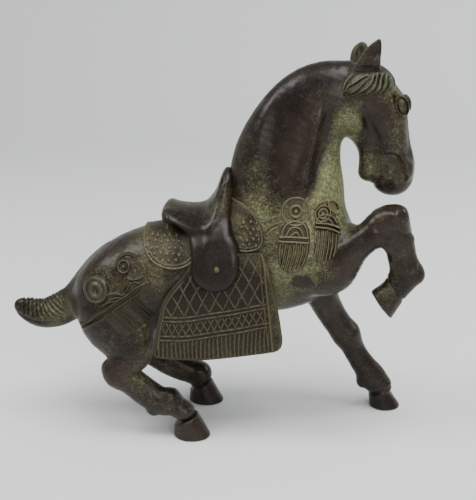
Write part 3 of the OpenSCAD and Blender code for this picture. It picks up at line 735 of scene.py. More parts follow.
def shoulder_rosette(x, z):
    r, d = rings(x, z, (36.1, 150.1), [(3.3, 0.95, 0.75), (5.7, 0.3, 0.6), (8.2, 0.62, 0.7)], 0.9, 1.5)
    r = np.maximum(r, 0.28 * smooth(d, 3.8, 4.6) * smooth(-d, -7.8, -7.0) * (0.5 + 0.5 * np.cos(9 * np.arctan2(z - 150.1, x - 36.1))))
    out = d - 9.2
    for pts in ([(15.4, 143.4), (18.6, 144.0), (22.6, 146.2), (27.4, 147.6)], [(18.4, 135.4), (21.2, 138.4), (25.4, 140.8), (28.8, 142.2)], [(17.4, 137.8), (21, 141.2), (26, 143.2)],
                [(44.4, 146.0), (46.2, 141.6), (46.6, 136.4)], [(27.2, 141.2), (24.6, 144.2), (25.2, 147.2), (27.6, 146.4)]):
        e, _, w = line2(x, z, pts, 3)
        r = np.maximum(r, 0.34 * gauss(e, 0.5))
        out = np.minimum(out, e - 1.0)
    return sink(r, out)


def chest_rosette(x, z):
    r, d = rings(x, z, (52.4, 147.8), [(2.7, 0.8, 0.6), (4.6, 0.7, 0.6)], 0.6, 1.2)
    t = math.radians(128)
    u = (x - 59.2) * math.cos(t) + (z - 151) * math.sin(t)
    v = (z - 151) * math.cos(t) - (x - 59.2) * math.sin(t)
    e = np.hypot(u / 5.0, v / 2.5)
    r = np.maximum(r, 0.85 * gauss((e - 1) * 2.6, 0.6))
    out = np.minimum(d - 5.6, (e - 1.25) * 3)
    d3, _, _ = line2(x, z, [(47.4, 151), (50.6, 154.4), (55.4, 155.2)], 3)
    r = np.maximum(r, 0.6 * gauss(d3, 0.55))
    return sink(r, np.minimum(out, d3 - 1.2))


def shoulder_tassel(x, z):
    r = 0.95 * strands(x, z, T1, 0.62)
    bars = strands(x, z, [[(26.2, 132.6), (34.9, 132.3), (43.8, 131.6)], [(26.6, 135.2), (34.9, 135.2), (43.8, 134.4)]], 0.6, 1)
    bell = strands(x, z, [T1_BELL, [(30.4, 135.6), (32.4, 139.4), (36, 141), (39.4, 139), (41, 135.4)], [(33.6, 136), (36.4, 138), (38.4, 135.6)]], 0.6)
    r = np.maximum.reduce([r, bars, 0.8 * bell])
    out = inside2(x, z, [(25.2, 133), (26.6, 139.6), (30, 144.2), (35.6, 146), (41.4, 144.2), (44.6, 139.4), (45.2, 132), (44.2, 124), (41, 116), (36, 112.6), (31, 112.6), (26.6, 116.6), (25.4, 124)], 2)
    dark = smooth(-out, 0.6, 1.6) * smooth(132.2 - z, 0, 1)
    return sink(r - 0.35 * dark * (1 - r), out)


def chest_tassel(x, z):
    r = 0.9 * strands(x, z, T2, 0.55)
    bars = strands(x, z, [[(47.8, 140.6), (55, 139.4), (62.3, 136.9)], [(48.2, 142.8), (55, 141.8), (62.3, 139.3)]], 0.55, 1)
    bell = strands(x, z, [[(48.6, 143.4), (50.4, 146.4), (54, 147), (58.4, 145.4), (61, 141.6)], [(51.4, 143), (53.8, 144.8), (57, 143.4), (58.4, 141.2)]], 0.55)
    r = np.maximum.reduce([r, bars, 0.75 * bell])
    out = inside2(x, z, [(47, 142), (49, 146.6), (54, 148.4), (59.6, 146), (63, 141), (63, 135), (61.4, 127), (58, 121), (53, 118.4), (49, 120.4), (47, 128)], 2)
    dark = smooth(-out, 0.6, 1.6) * smooth(138.4 - z, 0, 1)
    return sink(r - 0.35 * dark * (1 - r), out)


def rump_rosette(x, z):
    r, d = rings(x, z, (-69.2, 113.6), [(3.4, 1.0, 0.9)], 1.0, 1.5)
    r = r - 0.3 * gauss(d - 1.9, 0.5)
    arc = [[(-74.6, 111.4), (-73.9, 115.4), (-71.8, 118.6), (-67.0, 120.3), (-62.4, 119.2)], [(-62.4, 117), (-60.6, 114.6), (-61.4, 111.4)]]
    a, _, _ = line2(x, z, arc[0], 3)
    r2, d2 = rings(x, z, (-86.9, 98.6), [(3.6, 0.55, 1.0), (7.2, 0.75, 0.9)], 0.0, 1.0)
    r2 = r2 + 0.9 * np.sqrt(np.maximum(1 - (d2 / 8.8) ** 2, 0)) - 1.0 * gauss(d2, 1.9)
    arc2 = strands(x, z, [[(-96.4, 98.6), (-95.6, 102.4), (-92.6, 105.2)], [(-98.8, 93.4), (-98.2, 91), (-96.4, 89.4)]], 1.2)
    r = np.maximum.reduce([r, 0.65 * strands(x, z, arc, 0.6), r2, 0.9 * arc2])
    return sink(r, np.minimum.reduce([d - 5.2, d2 - 9.0, a - 1.2]), lift=1.2)


def crupper(x, z):
    da, _, _ = line2(x, z, STRAP_A, 3)
    db, _, _ = line2(x, z, STRAP_B, 3)
    r = np.maximum(gauss(da, 0.62), 0.85 * gauss(db, 0.6))
    return sink(r, np.minimum(da, db) - 2.0)


def crupper_below(v):
    """How far a point lies below the crupper strap."""
    return np.interp(v[:, 0], [-96.8, -88.4, -76.5, -57.2], [72.4, 77.8, 85.5, 99.8]) - v[:, 2]


def rump_tassel(x, z):
    r = np.maximum(0.85 * strands(x, z, LEAVES, 0.6), 0.62 * strands(x, z, HAIR, 0.5))
    out1 = inside2(x, z, [(-88, 88), (-86.5, 96), (-80, 100), (-75, 98.6), (-72, 104), (-65, 110), (-58, 110.4), (-53.4, 105), (-56, 100), (-66, 96), (-78, 90)], 2)
    out2 = inside2(x, z, [(-84, 83), (-80, 80), (-72, 70.6), (-64, 72), (-52, 80), (-51, 86), (-58, 95.4), (-66, 91.8), (-74, 87.4)], 2)
    return sink(r, np.minimum(out1, out2), 2.4)


# ------------------------------------------------------------------ ears, forelock
EAR_N = [(-8.5, -6), (-7.4, -1), (-5.2, 4.4), (-2.2, 9.2), (1.9, 13.0), (5.8, 15.3), (6.9, 11), (6.7, 4), (6.8, -1), (6.6, -6)]


def ear(p, near):
    """A leaf-shaped ear with a hollow facing forwards and out."""
    if near:
        x, y, z = p[:, 0] - 77.4, p[:, 1] + 9.2, p[:, 2] - 235.4
        out = inside2(x, z, EAR_N, 3)
        mid = -0.10 * z - 0.02 * (x - 1) ** 2 + 2.6 * smooth(-z, -3, 5)
        thick = 2.9 - 0.11 * np.clip(z, 0, 16) - 1.2 * smooth(-z, -1, 5)
        d = smax(out, np.abs(y - mid) - thick, 2.2)
        d += 1.3 * gauss(np.hypot((x - 3.4 - 0.15 * z) * 1.3, (z - 7) * 0.5), 2.4) * (y < mid)
        # the foot of the ear flows into the poll
        g = body(p)
        d = smax(smax(smin(d, g, 5.5), d - 3.6, 1.0), -(g + 1.3), 0.4)
    else:
        x, y, z = p[:, 0] - 72.6, p[:, 1] - 11.6, p[:, 2] - 235.0
        out = inside2(x, z, [(-4, -4), (-5.0, 2), (-3.4, 8), (0.2, 11.6), (3.4, 11.4), (5.6, 8.4), (5.6, 2), (4, -4)], 3)
        mid = 0.08 * z + 0.02 * x * x
        thick = 2.7 - 0.1 * np.clip(z, 0, 12)
        d = smax(out, np.abs(y - mid) - thick, 2.2)
        d += 1.5 * gauss(np.hypot((x - 0.4) * 1.1, (z - 5) * 0.5), 2.4) * (y < mid + 1)
    return d.astype(F)


LOCK = [(59.8, 221.2), (60.6, 225.0), (62.4, 228.3), (65.3, 230.4), (68.5, 231.7), (74.7, 233.0), (79.2, 234.6), (82.4, 235.4), (87.5, 232.8), (90.8, 228.6), (92.2, 223.8), (90.5, 221.0), (85.6, 218.7), (81.5, 217.8), (77.3, 217.8),
        (70.3, 217.3), (64.9, 216.4), (61.0, 217.9)]
LOCKS = [[(72.0, 231.4), (68.0, 230.6), (64.6, 228.0), (62.2, 224.4), (61.0, 220.4)], [(75.6, 229.2), (71.6, 227.3), (67.9, 225.2), (63.4, 222.6), (61.2, 219.6)],
         [(77.6, 228.2), (74.0, 225.6), (70.6, 222.6), (67.4, 220.2), (63.6, 218.4)], [(80.0, 229.6), (79.0, 226.4), (77.2, 223.8), (74.4, 221.4), (70.2, 219.2)],
         [(83.0, 230.4), (81.8, 227.2), (81.0, 223.8), (79.0, 220.9), (75.6, 218.6)], [(86.2, 230.2), (84.8, 227.2), (84.4, 223.6), (83.2, 220.6), (81.0, 218.6)],
         [(88.8, 228.8), (88.0, 226.4), (88.2, 223.4), (86.6, 220.6)]]
MIDS = [[(69.0, 231.3), (65.3, 229.4), (62.2, 225.8), (60.4, 221.6)], [(75.2, 230.1), (71.6, 228.4), (67.9, 226.3), (63.4, 223.5), (61.4, 220.6)], [(76.6, 227.8), (72.5, 225.1), (68.9, 222.1), (64.6, 219.5)],
        [(78.9, 229.3), (77.8, 226.4), (76.3, 224.1), (73.6, 222.0), (69.8, 219.9)], [(81.5, 230.1), (80.4, 227.2), (79.7, 224.1), (77.8, 221.1), (74.8, 219.0)], [(84.7, 230.1), (83.3, 227.2), (82.7, 223.5), (81.2, 220.3)],
        [(87.6, 229.3), (86.5, 226.8), (86.5, 223.5), (85.0, 220.6)], [(90.2, 227.7), (90.2, 224.3), (88.9, 221.4)]]


def lock_lines(x, z):
    cut, mid = np.zeros(x.shape), np.zeros(x.shape)
    for pts in LOCKS:
        e, _, w = line2(x, z, pts, 3)
        cut = np.maximum(cut, gauss(e, 0.62) * smooth(w, 0, 0.12))
    for pts in MIDS:
        e, _, w = line2(x, z, pts, 3)
        mid = np.maximum(mid, gauss(e, 0.5))
    return cut, mid


def forelock(p):
    q = unturn(p)
    x, y, z = q[:, 0], np.abs(q[:, 1]), q[:, 2]
    g = body(p)
    out = inside2(x, z, LOCK, 2)
    h = 2.9 * np.sqrt(np.clip(-out / 4.0, 0, 1))
    d = smax(g - h, out - 0.3, 1.4)
    # the tuft that rolls over the brow
    ex, ez = x - 83.6, z - 227.2
    t = math.radians(-30)
    u, v = ex * math.cos(t) + ez * math.sin(t), ez * math.cos(t) - ex * math.sin(t)
    a, b, c = 12.0, 6.8, 12.6
    k0 = np.sqrt((u / a) ** 2 + (v / b) ** 2 + (y / c) ** 2) + 1e-6
    k1 = np.sqrt((u / a ** 2) ** 2 + (v / b ** 2) ** 2 + (y / c ** 2) ** 2) + 1e-6
    d = smin(d, k0 * (k0 - 1) / k1, 3.0)
    cut, mid = lock_lines(x, z)
    side = smooth(y, 3, 6)
    d = d + (0.95 * cut - 0.3 * mid) * side
    # strands over the top of the head
    ang = np.mod(q[:, 1] + 0.9 + 0.5 * np.sin(x * 0.3), 2.4) - 1.2
    d = d + 0.8 * gauss(ang, 0.42) * (1 - smooth(y, 6, 9)) * smooth(x, 78, 82)
    return smax(d, -(g + 1.4), 0.4).astype(F)


def lock_raise(v):
    q = unturn(v)
    return lock_lines(q[:, 0], q[:, 2])[1] * smooth(np.abs(q[:, 1]), 3, 6)


def stud(p):
    x, y, z = p[:, 0] + 10.9, np.abs(p[:, 1]) - 37.9, p[:, 2] - 116.4
    return (np.sqrt((x / 1.7) ** 2 + (y / 1.7) ** 2 + (z / 2.0) ** 2) - 1).astype(F) * 1.6


# ------------------------------------------------------------------ paint
def blob(x, z, cx, cz, rx, rz):
    return np.exp(-((x - cx) / rx) ** 2 - ((z - cz) / rz) ** 2)


def patina(p):
    """How green and pale the casting is, by place: 0 dark and polished, 1 olive."""
    x, y, z = p[:, 0], p[:, 1], p[:, 2]
    r = np.full(len(p), 0.12)
    d, side, w = line2(x, z, NECK_GROOVE, 3)
    front = smooth(np.where(side > 0, d, -d), 0.5, 6) * smooth(z, 146, 160) * (1 - smooth(z, 200, 216)) * (1 - smooth(x, 70, 78))
    r += 0.54 * front + 0.44 * blob(x, z, 62, 162, 12, 16) - 0.12 * smooth(z, 182, 200) * front
    r += 0.62 * blob(x, z, 46, 141, 18, 15) + 0.48 * blob(x, z, 40, 116, 18, 14) + 0.25 * blob(x, z, 66, 144, 8, 10)
    r += 0.40 * blob(x, z, 24, 100, 12, 22)
    r += 0.34 * blob(x, z, -46, 122, 22, 14) + 0.45 * blob(x, z, 8, 136, 12, 16)
    r += 0.34 * blob(x, z, 80, 174, 7, 12) + 0.20 * blob(x, z, 68, 204, 8, 9)
    r += 0.20 * blob(x, z, 97, 196, 7, 16) + 0.26 * blob(x, z, 92, 222, 9, 7) + 0.2 * blob(x, z, 94, 166, 10, 8)
    r += 0.34 * blob(x, z, -122, 76, 18, 10) + 0.12 * blob(x, z, -84, 98, 14, 12)
    r += 0.16 * blob(x, z, -50, 62, 8, 12) + 0.27 * blob(x, z, -58, 43, 9, 7) + 0.18 * blob(x, z, -44, 26, 9, 7) + 0.14 * blob(x, z, -78, 66, 8, 8)
    r += 0.16 * blob(x, z, 16, 176, 7, 22) + 0.2 * blob(x, z, 9, 164, 8, 14) + 0.26 * blob(x, z, 20, 148, 11, 9)
    r -= 0.16 * blob(x, z, 28, 192, 16, 26) + 0.10 * blob(x, z, -76, 124, 24, 12)
    r -= 0.30 * blob(x, z, 68, 121, 13, 14) + 0.08 * blob(x, z, 94, 136, 18, 22) + 0.22 * blob(x, z, 84, 203, 8, 12)
    r += 0.34 * blob(x, z, 80, 118, 9, 6) + 0.26 * blob(x, z, 94, 117, 4, 12) + 0.2 * blob(x, z, 90, 102, 7, 5)
    r += 0.18 * blob(x, z, -52, 108, 8, 12) + 0.2 * blob(x, z, -80, 108, 10, 8) + 0.22 * blob(x, z, -60, 79, 9, 9)
    r -= 0.14 * (1 - smooth(z, 12, 16))
    # a rubbed bare spot on each shoulder
    spot = np.exp(-np.square(((x - 40) / 6.2) ** 2 + ((z - 107) / 4.4) ** 2))
    r -= 0.75 * spot
    return np.clip(r, 0, 1)


def paint_of(v, n, fn, raised=None, extra=None, d=2.4):
    """R patina, G painted highlight on raised edges, B painted shade in hollows."""
    # painted shade in hollows: how far the field lies a little way out along the normal
    near = fn(v + n * 0.9)
    far = fn(v + n * d)
    deep = np.clip(1.15 - 0.5 * near / 0.9 - 0.5 * far / d, 0, 1)
    # painted highlight on convex edges and raised lines, mixed later towards a lighter colour
    back = fn(v - n * 0.9)
    high = np.clip((1.0 + back / 0.9) * 1.6, 0, 1)
    if raised is not None:
        high = np.maximum(high, raised)
    out = np.stack([patina(v) if extra is None else extra, high, deep], 1)
    return np.clip(out, 0, 1)


# ------------------------------------------------------------------ materials
def bronze(name, dark, mid, green, warm=(0.115, 0.095, 0.045), rough=(0.30, 0.52), metal=0.12, line=None, line_mix=0.0, speck=1.0, bump=0.4, seed=0.0):
    """Patinated bronze: dark ground, olive bloom by the paint's red, painted highlight on raised edges by its green,
    painted shade in hollows by its blue.
    """
    m = bpy.data.materials.new(name)
    m.use_nodes = True
    nt = m.node_tree
    nt.nodes.clear()
    L = nt.links.new

    def node(kind, **kw):
        q = nt.nodes.new(kind)
        for k, w in kw.items():
            setattr(q, k, w)
        return q

    out = node("ShaderNodeOutputMaterial")
    bs = node("ShaderNodeBsdfPrincipled")
    L(bs.outputs[0], out.inputs[0])
    tc = node("ShaderNodeTexCoord")
    at = node("ShaderNodeAttribute", attribute_name="paint")
    sep = node("ShaderNodeSeparateColor")
    L(at.outputs["Color"], sep.inputs[0])

    def noise(scale, detail=4.0, rough_=0.6, shift=0.0, dist=0.0):
        mp = node("ShaderNodeMapping")
        mp.inputs["Location"].default_value = (shift + seed, shift * 0.7, -shift)
        L(tc.outputs["Object"], mp.inputs[0])
        n = node("ShaderNodeTexNoise")
        n.inputs["Scale"].default_value = scale
        n.inputs["Detail"].default_value = detail
        n.inputs["Roughness"].default_value = rough_
        n.inputs["Distortion"].default_value = dist
        L(mp.outputs[0], n.inputs["Vector"])
        return n.outputs["Fac"]

    def ramp(sock, lo, hi, a=0.0, b=1.0):
        r = node("ShaderNodeMapRange", interpolation_type="SMOOTHSTEP")
        r.inputs["From Min"].default_value = lo
        r.inputs["From Max"].default_value = hi
        r.inputs["To Min"].default_value = a
        r.inputs["To Max"].default_value = b
        L(sock, r.inputs["Value"])
        return r.outputs[0]

    def math_(op, a, b, c=None):
        q = node("ShaderNodeMath", operation=op)
        for i, s in enumerate((a, b, c)):
            if s is None:
                continue
            if isinstance(s, (int, float)):
                q.inputs[i].default_value = s
            else:
                L(s, q.inputs[i])
        return q.outputs[0]

    def mix(fac, a, b, mode="MIX"):
        q = node("ShaderNodeMix", data_type="RGBA", blend_type=mode)
        if isinstance(fac, (int, float)):
            q.inputs[0].default_value = fac
        else:
            L(fac, q.inputs[0])
        for i, s in ((6, a), (7, b)):
            if isinstance(s, tuple):
                q.inputs[i].default_value = (*s, 1)
            else:
                L(s, q.inputs[i])
        return q.outputs[2]

    big = noise(38, 3, 0.55, 0.3)
    mid_n = noise(170, 4, 0.62, 1.7, 0.3)
    fine = noise(900, 3, 0.65, 3.1)
    grit = noise(2300, 2, 0.6, 5.3)
    # ground: two browns
    ground = mix(ramp(big, 0.35, 0.65), dark, mid)
    ground = mix(math_("MULTIPLY", ramp(fine, 0.50, 0.70), 0.6), ground, tuple(c * 1.7 for c in mid))
    # olive bloom
    bloom = math_("ADD", sep.outputs[0], math_("MULTIPLY", math_("SUBTRACT", mid_n, 0.5), 0.65))
    bloom = math_("ADD", bloom, math_("MULTIPLY", math_("SUBTRACT", big, 0.5), 0.5))
    bloom = math_("ADD", bloom, math_("MULTIPLY", math_("SUBTRACT", fine, 0.5), speck))
    bloom = math_("ADD", bloom, math_("MULTIPLY", math_("SUBTRACT", grit, 0.5), speck))
    bloom = ramp(bloom, 0.10, 1.0, 0.0, 0.96)
    pale = mix(ramp(noise(620, 3, 0.6, 8.0), 0.42, 0.62), green, tuple(min(1.0, c * 2.1) for c in green))
    pale = mix(ramp(noise(90, 3, 0.6, 9.0), 0.48, 0.66, 0.0, 0.55), pale, warm)
    pale = mix(ramp(grit, 0.56, 0.68, 0.0, 0.7), pale, dark)
    col = mix(bloom, ground, pale)
    # painted highlight on raised edges and lines, then painted shade in the hollows
    if line:
        col = mix(math_("MULTIPLY", sep.outputs[1], line_mix), col, line)
    hollow_shade = math_("MULTIPLY", sep.outputs[2], ramp(mid_n, 0.3, 0.7, 0.75, 1.0))
    col = mix(ramp(hollow_shade, 0.12, 0.85, 0.0, 0.88), col, tuple(c * 0.32 for c in dark))
    L(col, bs.inputs["Base Color"])
    bs.inputs["Metallic"].default_value = metal
    bs.inputs["IOR"].default_value = 1.45
    bs.inputs["Specular IOR Level"].default_value = 0.27
    bs.inputs["Coat Weight"].default_value = 0.06
    bs.inputs["Coat Roughness"].default_value = 0.28
    rg = math_("ADD", ramp(mid_n, 0.3, 0.7, rough[0], rough[1]), math_("MULTIPLY", bloom, 0.22))
    rg = math_("ADD", rg, math_("MULTIPLY", sep.outputs[2], 0.2))
    L(math_("MINIMUM", rg, 0.9), bs.inputs["Roughness"])
    b1 = node("ShaderNodeBump")
    b1.inputs["Strength"].default_value = bump
    b1.inputs["Distance"].default_value = 0.0002
    h = math_("ADD", math_("MULTIPLY", mid_n, 1.0), math_("ADD", math_("MULTIPLY", fine, 0.5), math_("MULTIPLY", grit, 0.25)))
    L(h, b1.inputs["Height"])
    L(b1.outputs[0], bs.inputs["Normal"])
    return m


def srgb(r, g, b):
    return tuple((c / 255 / 12.92) if c / 255 <= 0.04045 else ((c / 255 + 0.055) / 1.055) ** 2.4 for c in (r, g, b))


HIDE = bronze("bronze_hide", srgb(23, 15, 12), srgb(41, 31, 25), srgb(96, 97, 67), rough=(0.23, 0.37), line=srgb(84, 76, 58), line_mix=0.22)
SEATM = bronze("bronze_saddle", srgb(18, 9, 8), srgb(30, 19, 15), srgb(76, 74, 54), rough=(0.22, 0.34), line=srgb(70, 60, 46), line_mix=0.2, seed=2.0)
PADM = bronze("bronze_pad", srgb(26, 20, 13), srgb(42, 34, 24), srgb(80, 78, 53), rough=(0.34, 0.50), line=srgb(108, 102, 77), line_mix=0.62, seed=3.0)
CLOTHM = bronze("bronze_cloth", srgb(15, 10, 6), srgb(27, 20, 13), srgb(74, 70, 48), rough=(0.36, 0.52), line=srgb(92, 84, 61), line_mix=0.78, seed=4.0)
ORNM = bronze("bronze_ornament", srgb(18, 13, 8), srgb(32, 25, 17), srgb(84, 80, 54), rough=(0.34, 0.50), line=srgb(108, 100, 76), line_mix=0.6, seed=6.0)
RUMPM = bronze("bronze_rump", srgb(16, 11, 8), srgb(28, 21, 15), srgb(76, 73, 51), rough=(0.28, 0.44), line=srgb(88, 82, 60), line_mix=0.34, seed=7.0)
HAIRM = bronze("bronze_hair", srgb(26, 20, 14), srgb(44, 37, 27), srgb(98, 101, 69), rough=(0.30, 0.48), line=srgb(112, 114, 80), line_mix=0.42, seed=8.0)


# ------------------------------------------------------------------ the horse
HB = 0.75
H1 = 0.42
H2 = 0.36

lo = (-150, -45, -3)
vb, qb = nets(field_blocks(body, lo, (121, 45, 256), HB), lo, HB)
vb = settle(body, vb, 2)
vb[:, 2] = np.maximum(vb[:, 2], 0.0)
nb = np.zeros_like(vb)
broad = ((vb[:, 2] > 150) & (vb[:, 0] < 60)) | ((vb[:, 2] > 88) & (vb[:, 0] > -100) & (vb[:, 0] < 32))
nb[broad] = gradient(body, vb[broad], 1.2)
nb[~broad] = gradient(body, vb[~broad], 0.6)
pb = paint_of(vb, nb, body)

def beyond(joint, c, back=0.0):
    n = np.array(joint[1], float)
    return (c - np.array(joint[0])) @ (n / np.linalg.norm(n)) > -back


J_NECK = ([31, 0, 166], [0, 0, 1])
J_HEAD = ([62, 0, 212], [1, 0, 0.18])
J_HIND_R = ([-67.5, -21.5, 61], [0.1, -0.15, -1])
J_HIND_L = ([-67.5, 21.5, 61], [0.1, 0.15, -1])
J_FORE_R = ([71.5, -23, 125], [1, 0, 0])
J_FORE_L = ([55.5, 20.5, 83], [0.42, 0.15, -0.9])
J_TAIL = ([-112, 0, 79], [-0.8, 0, -0.6])


def is_head(c, back=0.0):
    return beyond(J_HEAD, c, back) & (c[:, 2] > 150) & ((c[:, 1] > -15.5) | (c[:, 2] > 160))


def is_tail(c, back=0.0):
    return beyond(J_TAIL, c, back) & (c[:, 0] < -105)


def piece(name, v, q, n, p, keep, nodes):
    q = q[keep]
    used, inv = np.unique(q.reshape(-1), return_inverse=True)
    q = inv.reshape(-1, 4)
    w, tris = close(v[used], q)
    return add(name, w, q, tris, nodes, n[used], p[used], HIDE)


def fine(name, lo, hi, h, keep, nodes):
    """A piece of the hide meshed more closely than the rest."""
    v, q = nets(field_blocks(body, lo, hi, h), lo, h)
    v = settle(body, v, 2)
    c = v[q].mean(1)
    n = gradient(body, v, 0.25)
    piece(name, v, q, n, paint_of(v, n, body), keep(c), nodes)


cen = vb[qb].mean(1)
X, Y, Z = cen.T
part = np.zeros(len(qb), int)
part[beyond(J_NECK, cen) & (X > -20)] = 1
part[is_head(cen)] = -1
part[beyond(J_FORE_R, cen) & (Y < -9) & (X > 60) & (Z > 78) & (Z < 160)] = 3
part[beyond(J_FORE_L, cen) & (Y > 0) & (Z < 95) & (X > 35)] = 4
part[beyond(J_HIND_R, cen) & (Z < 75) & (X < -10) & (Y < 0)] = 5
part[beyond(J_HIND_L, cen) & (Z < 75) & (X < -10) & (Y > 0)] = 6
part[is_tail(cen)] = -1
for i, name in enumerate(["torso", "neck", "", "right_foreleg", "left_foreleg", "right_hind_leg", "left_hind_leg"]):
    if name:
        piece("bronze_" + name, vb, qb, nb, pb, part == i, [name])
fine("bronze_head", (57, -22, 149), (121, 27, 240), 0.46, lambda c: is_head(c, 1.0), ["head"])
fine("bronze_tail", (-149, -16, 55), (-104, 16, 98), 0.46, lambda c: is_tail(c, 1.0), ["tail"])


def sculpt(name, fn, lo, hi, h, nodes, material, raised=None, steps=2, patch=None, deep=None, shade=None):
    v, q = nets(field_blocks(fn, lo, hi, h), lo, h)
    v = settle(fn, v, steps, h * 0.7)
    n = gradient(fn, v, 0.22)
    rz = raised(v) if raised else None
    p = paint_of(v, n, deep or fn, rz, patch(v) if patch else None, 1.8)
    if shade:
        p[:, 2] = np.maximum(p[:, 2], shade(v))
    return add(name, v, q, [], nodes, n, p, material)


def relief(height, inner=1.25, off=0.0):
    """A skin that stands on the hide by a height read in the side view, away from the middle by off."""
    def fn(p):
        g = body(p)
        f = g.copy()
        m = np.flatnonzero(g < 7)
        if len(m):
            h = height(p[m, 0].astype(float), p[m, 2].astype(float))
            k = smooth(np.abs(p[m, 1]), off, off + 3.5) if off else 1.0
            h = h * k - 1.9 * (1 - k)
            f[m] = smax(g[m] - h, -(g[m] + inner), 0.3)
        return f.astype(F)
    return fn


def side_raise(height, lo=0.25, hi=0.9):
    return lambda v: smooth(height(v[:, 0], v[:, 2]), lo, hi)


sculpt("saddle_seat", saddle, (-54, -43, 94), (8, 43, 177), H1, ["saddle"], SEATM, patch=lambda v: 0.05 + 0.34 * smooth(v[:, 2], 136, 150) * (1 - smooth(v[:, 2], 156, 166)))
sculpt("saddle_stud", stud, (-14, -41, 113), (-7, 41, 120), 0.3, ["flap_studs"], ORNM, patch=lambda v: np.full(len(v), 0.6))
for s, side in ((-1, "right"), (1, "left")):
    sculpt("saddle_cloth_" + side, cloth, (-53, 28 if s > 0 else -41, 54), (30, 41 if s > 0 else -28, 125), H2, ["saddle_cloth_" + side], CLOTHM,
           raised=lambda v: cloth_relief(v[:, 0], v[:, 2])[0], patch=lambda v: 0.08 + 0.5 * cloth_relief(v[:, 0], v[:, 2])[2] + 0.12 * smooth(v[:, 2], 74, 68) + 0.3 * smooth(v[:, 2], 108, 122))
sculpt("saddle_pad", pad, (-61, -36, 110), (20, 36, 158), H1, ["saddle_pad"], PADM, raised=lambda v: np.maximum(0.8 * smooth(pad_relief(v[:, 0], v[:, 2])[2], 0.45, 0.95), 0.55 * pad_relief(v[:, 0], v[:, 2])[1]), patch=lambda v: 0.36 + 0.1 * np.sin(v[:, 0] * 0.4))
sculpt("right_ear", lambda p: ear(p, True), (62, -21, 222), (93, -1, 253), 0.4, ["right_ear"], HIDE)
sculpt("left_ear", lambda p: ear(p, False), (65, 5, 229), (81, 18, 250), 0.4, ["left_ear"], HAIRM)
sculpt("forelock", forelock, (56, -22, 211), (102, 26, 242), H2, ["forelock"], HAIRM, raised=lock_raise)
for name, height, lo_, hi_, node in (
        ("shoulder_rosette", shoulder_rosette, (13, -38, 133), (49, 38, 162), "shoulder_rosettes"),
        ("chest_rosette", chest_rosette, (45, -34, 139), (67, 34, 160), "chest_rosettes"),
        ("shoulder_tassel", shoulder_tassel, (22, -38, 109), (48, 38, 148), "shoulder_tassels"),
        ("chest_tassel", chest_tassel, (44, -36, 115), (66, 36, 151), "chest_tassels"),
        ("rump_rosette", rump_rosette, (-102, -36, 86), (-57, 36, 124), "rump_rosettes"),
        ("crupper_strap", crupper, (-101, -36, 69), (-53, 36, 104), "crupper_straps"),
        ("rump_tassel", rump_tassel, (-91, -38, 67), (-48, 38, 113), "rump_tassels")):
    dark = "tassel" in name and "rump" not in name
    sculpt(name, relief(height, off=10.5 if "chest" in name else 0.0), lo_, hi_, H2, [node], RUMPM if "rump" in name or "crupper" in name else ORNM, raised=side_raise(height, 0.7, 1.4) if name == "rump_rosette" else side_raise(height),
           patch=(lambda v, g=height: 0.05 + 0.5 * smooth(g(v[:, 0], v[:, 2]), 0.3, 1.0)) if dark else None, shade=(lambda v, g=height: 0.62 * smooth(-g(v[:, 0], v[:, 2]), -0.7, 0.1) * smooth(g(v[:, 0], v[:, 2]), -1.2, -0.5)) if dark else (lambda v: 0.42 * smooth(crupper_below(v), 0.5, 3.0)) if name == "rump_tassel" else None)

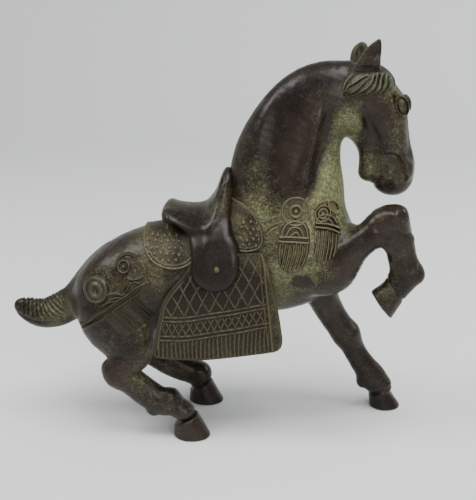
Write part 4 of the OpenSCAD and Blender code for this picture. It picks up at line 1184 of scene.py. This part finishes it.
# ------------------------------------------------------------------ stage, light, camera
def stage():
    m = bpy.data.materials.new("paper")
    m.use_nodes = True
    b = m.node_tree.nodes["Principled BSDF"]
    b.inputs["Base Color"].default_value = (0.735, 0.75, 0.74, 1)
    b.inputs["Roughness"].default_value = 0.85
    b.inputs["Specular IOR Level"].default_value = 0.2
    prof = [(-3.0, 0.0), (0.9, 0.0)]
    for i in range(1, 13):
        a = math.radians(i * 7.5)
        prof.append((0.9 + 0.6 * math.sin(a), 0.6 - 0.6 * math.cos(a)))
    prof.append((1.5, 2.2))
    v, f = [], []
    for y, z in prof:
        v += [(-3.5, y, z - 0.0002), (3.5, y, z - 0.0002)]
    for i in range(len(prof) - 1):
        f.append((2 * i, 2 * i + 1, 2 * i + 3, 2 * i + 2))
    me = bpy.data.meshes.new("stage_paper")
    me.from_pydata(v, [], f)
    me.materials.append(m)
    for p in me.polygons:
        p.use_smooth = True
    o = bpy.data.objects.new("stage_paper", me)
    bpy.context.scene.collection.objects.link(o)


stage()


def area(name, at, to, size, power, colour=(1, 1, 1)):
    l = bpy.data.lights.new(name, "AREA")
    l.shape = "RECTANGLE"
    l.size, l.size_y = size
    l.energy = power
    l.color = colour
    o = bpy.data.objects.new(name, l)
    from mathutils import Vector
    o.location = at
    o.rotation_euler = (Vector(to) - Vector(at)).to_track_quat("-Z", "Y").to_euler()
    bpy.context.scene.collection.objects.link(o)


from mathutils import Matrix, Vector

area("key", (0.30, -0.30, 1.25), (0, 0, 0.1), (0.8, 0.6), 14.5)
area("left_top", (-0.7, -0.2, 1.0), (0, 0, 0.13), (0.40, 0.5), 7)
area("front", (0.6, -1.5, 0.9), (0, 0.5, 0.25), (0.9, 0.7), 11)
area("right_back", (1.1, 0.4, 0.8), (0.5, 1.2, 0.15), (0.6, 0.6), 7, (0.96, 1, 0.99))
w = bpy.data.worlds.new("studio")
bpy.context.scene.world = w
w.use_nodes = True
w.node_tree.nodes["Background"].inputs[0].default_value = (0.93, 0.96, 0.95, 1)
w.node_tree.nodes["Background"].inputs[1].default_value = 0.58

az, el = math.radians(3), math.radians(17.3)
back = Vector((math.sin(az) * math.cos(el), -math.cos(az) * math.cos(el), math.sin(el)))
cd = bpy.data.cameras.new("camera")
cd.sensor_width = 36
cd.sensor_fit = "AUTO"
cd.lens = 975.26 / 500 * 36
cd.clip_start = 0.01
co = bpy.data.objects.new("camera", cd)
co.location = Vector((0.0161, 0, 0.1173)) + back * 0.620
co.rotation_euler = back.to_track_quat("Z", "Y").to_euler()
bpy.context.scene.collection.objects.link(co)
bpy.context.scene.camera = co
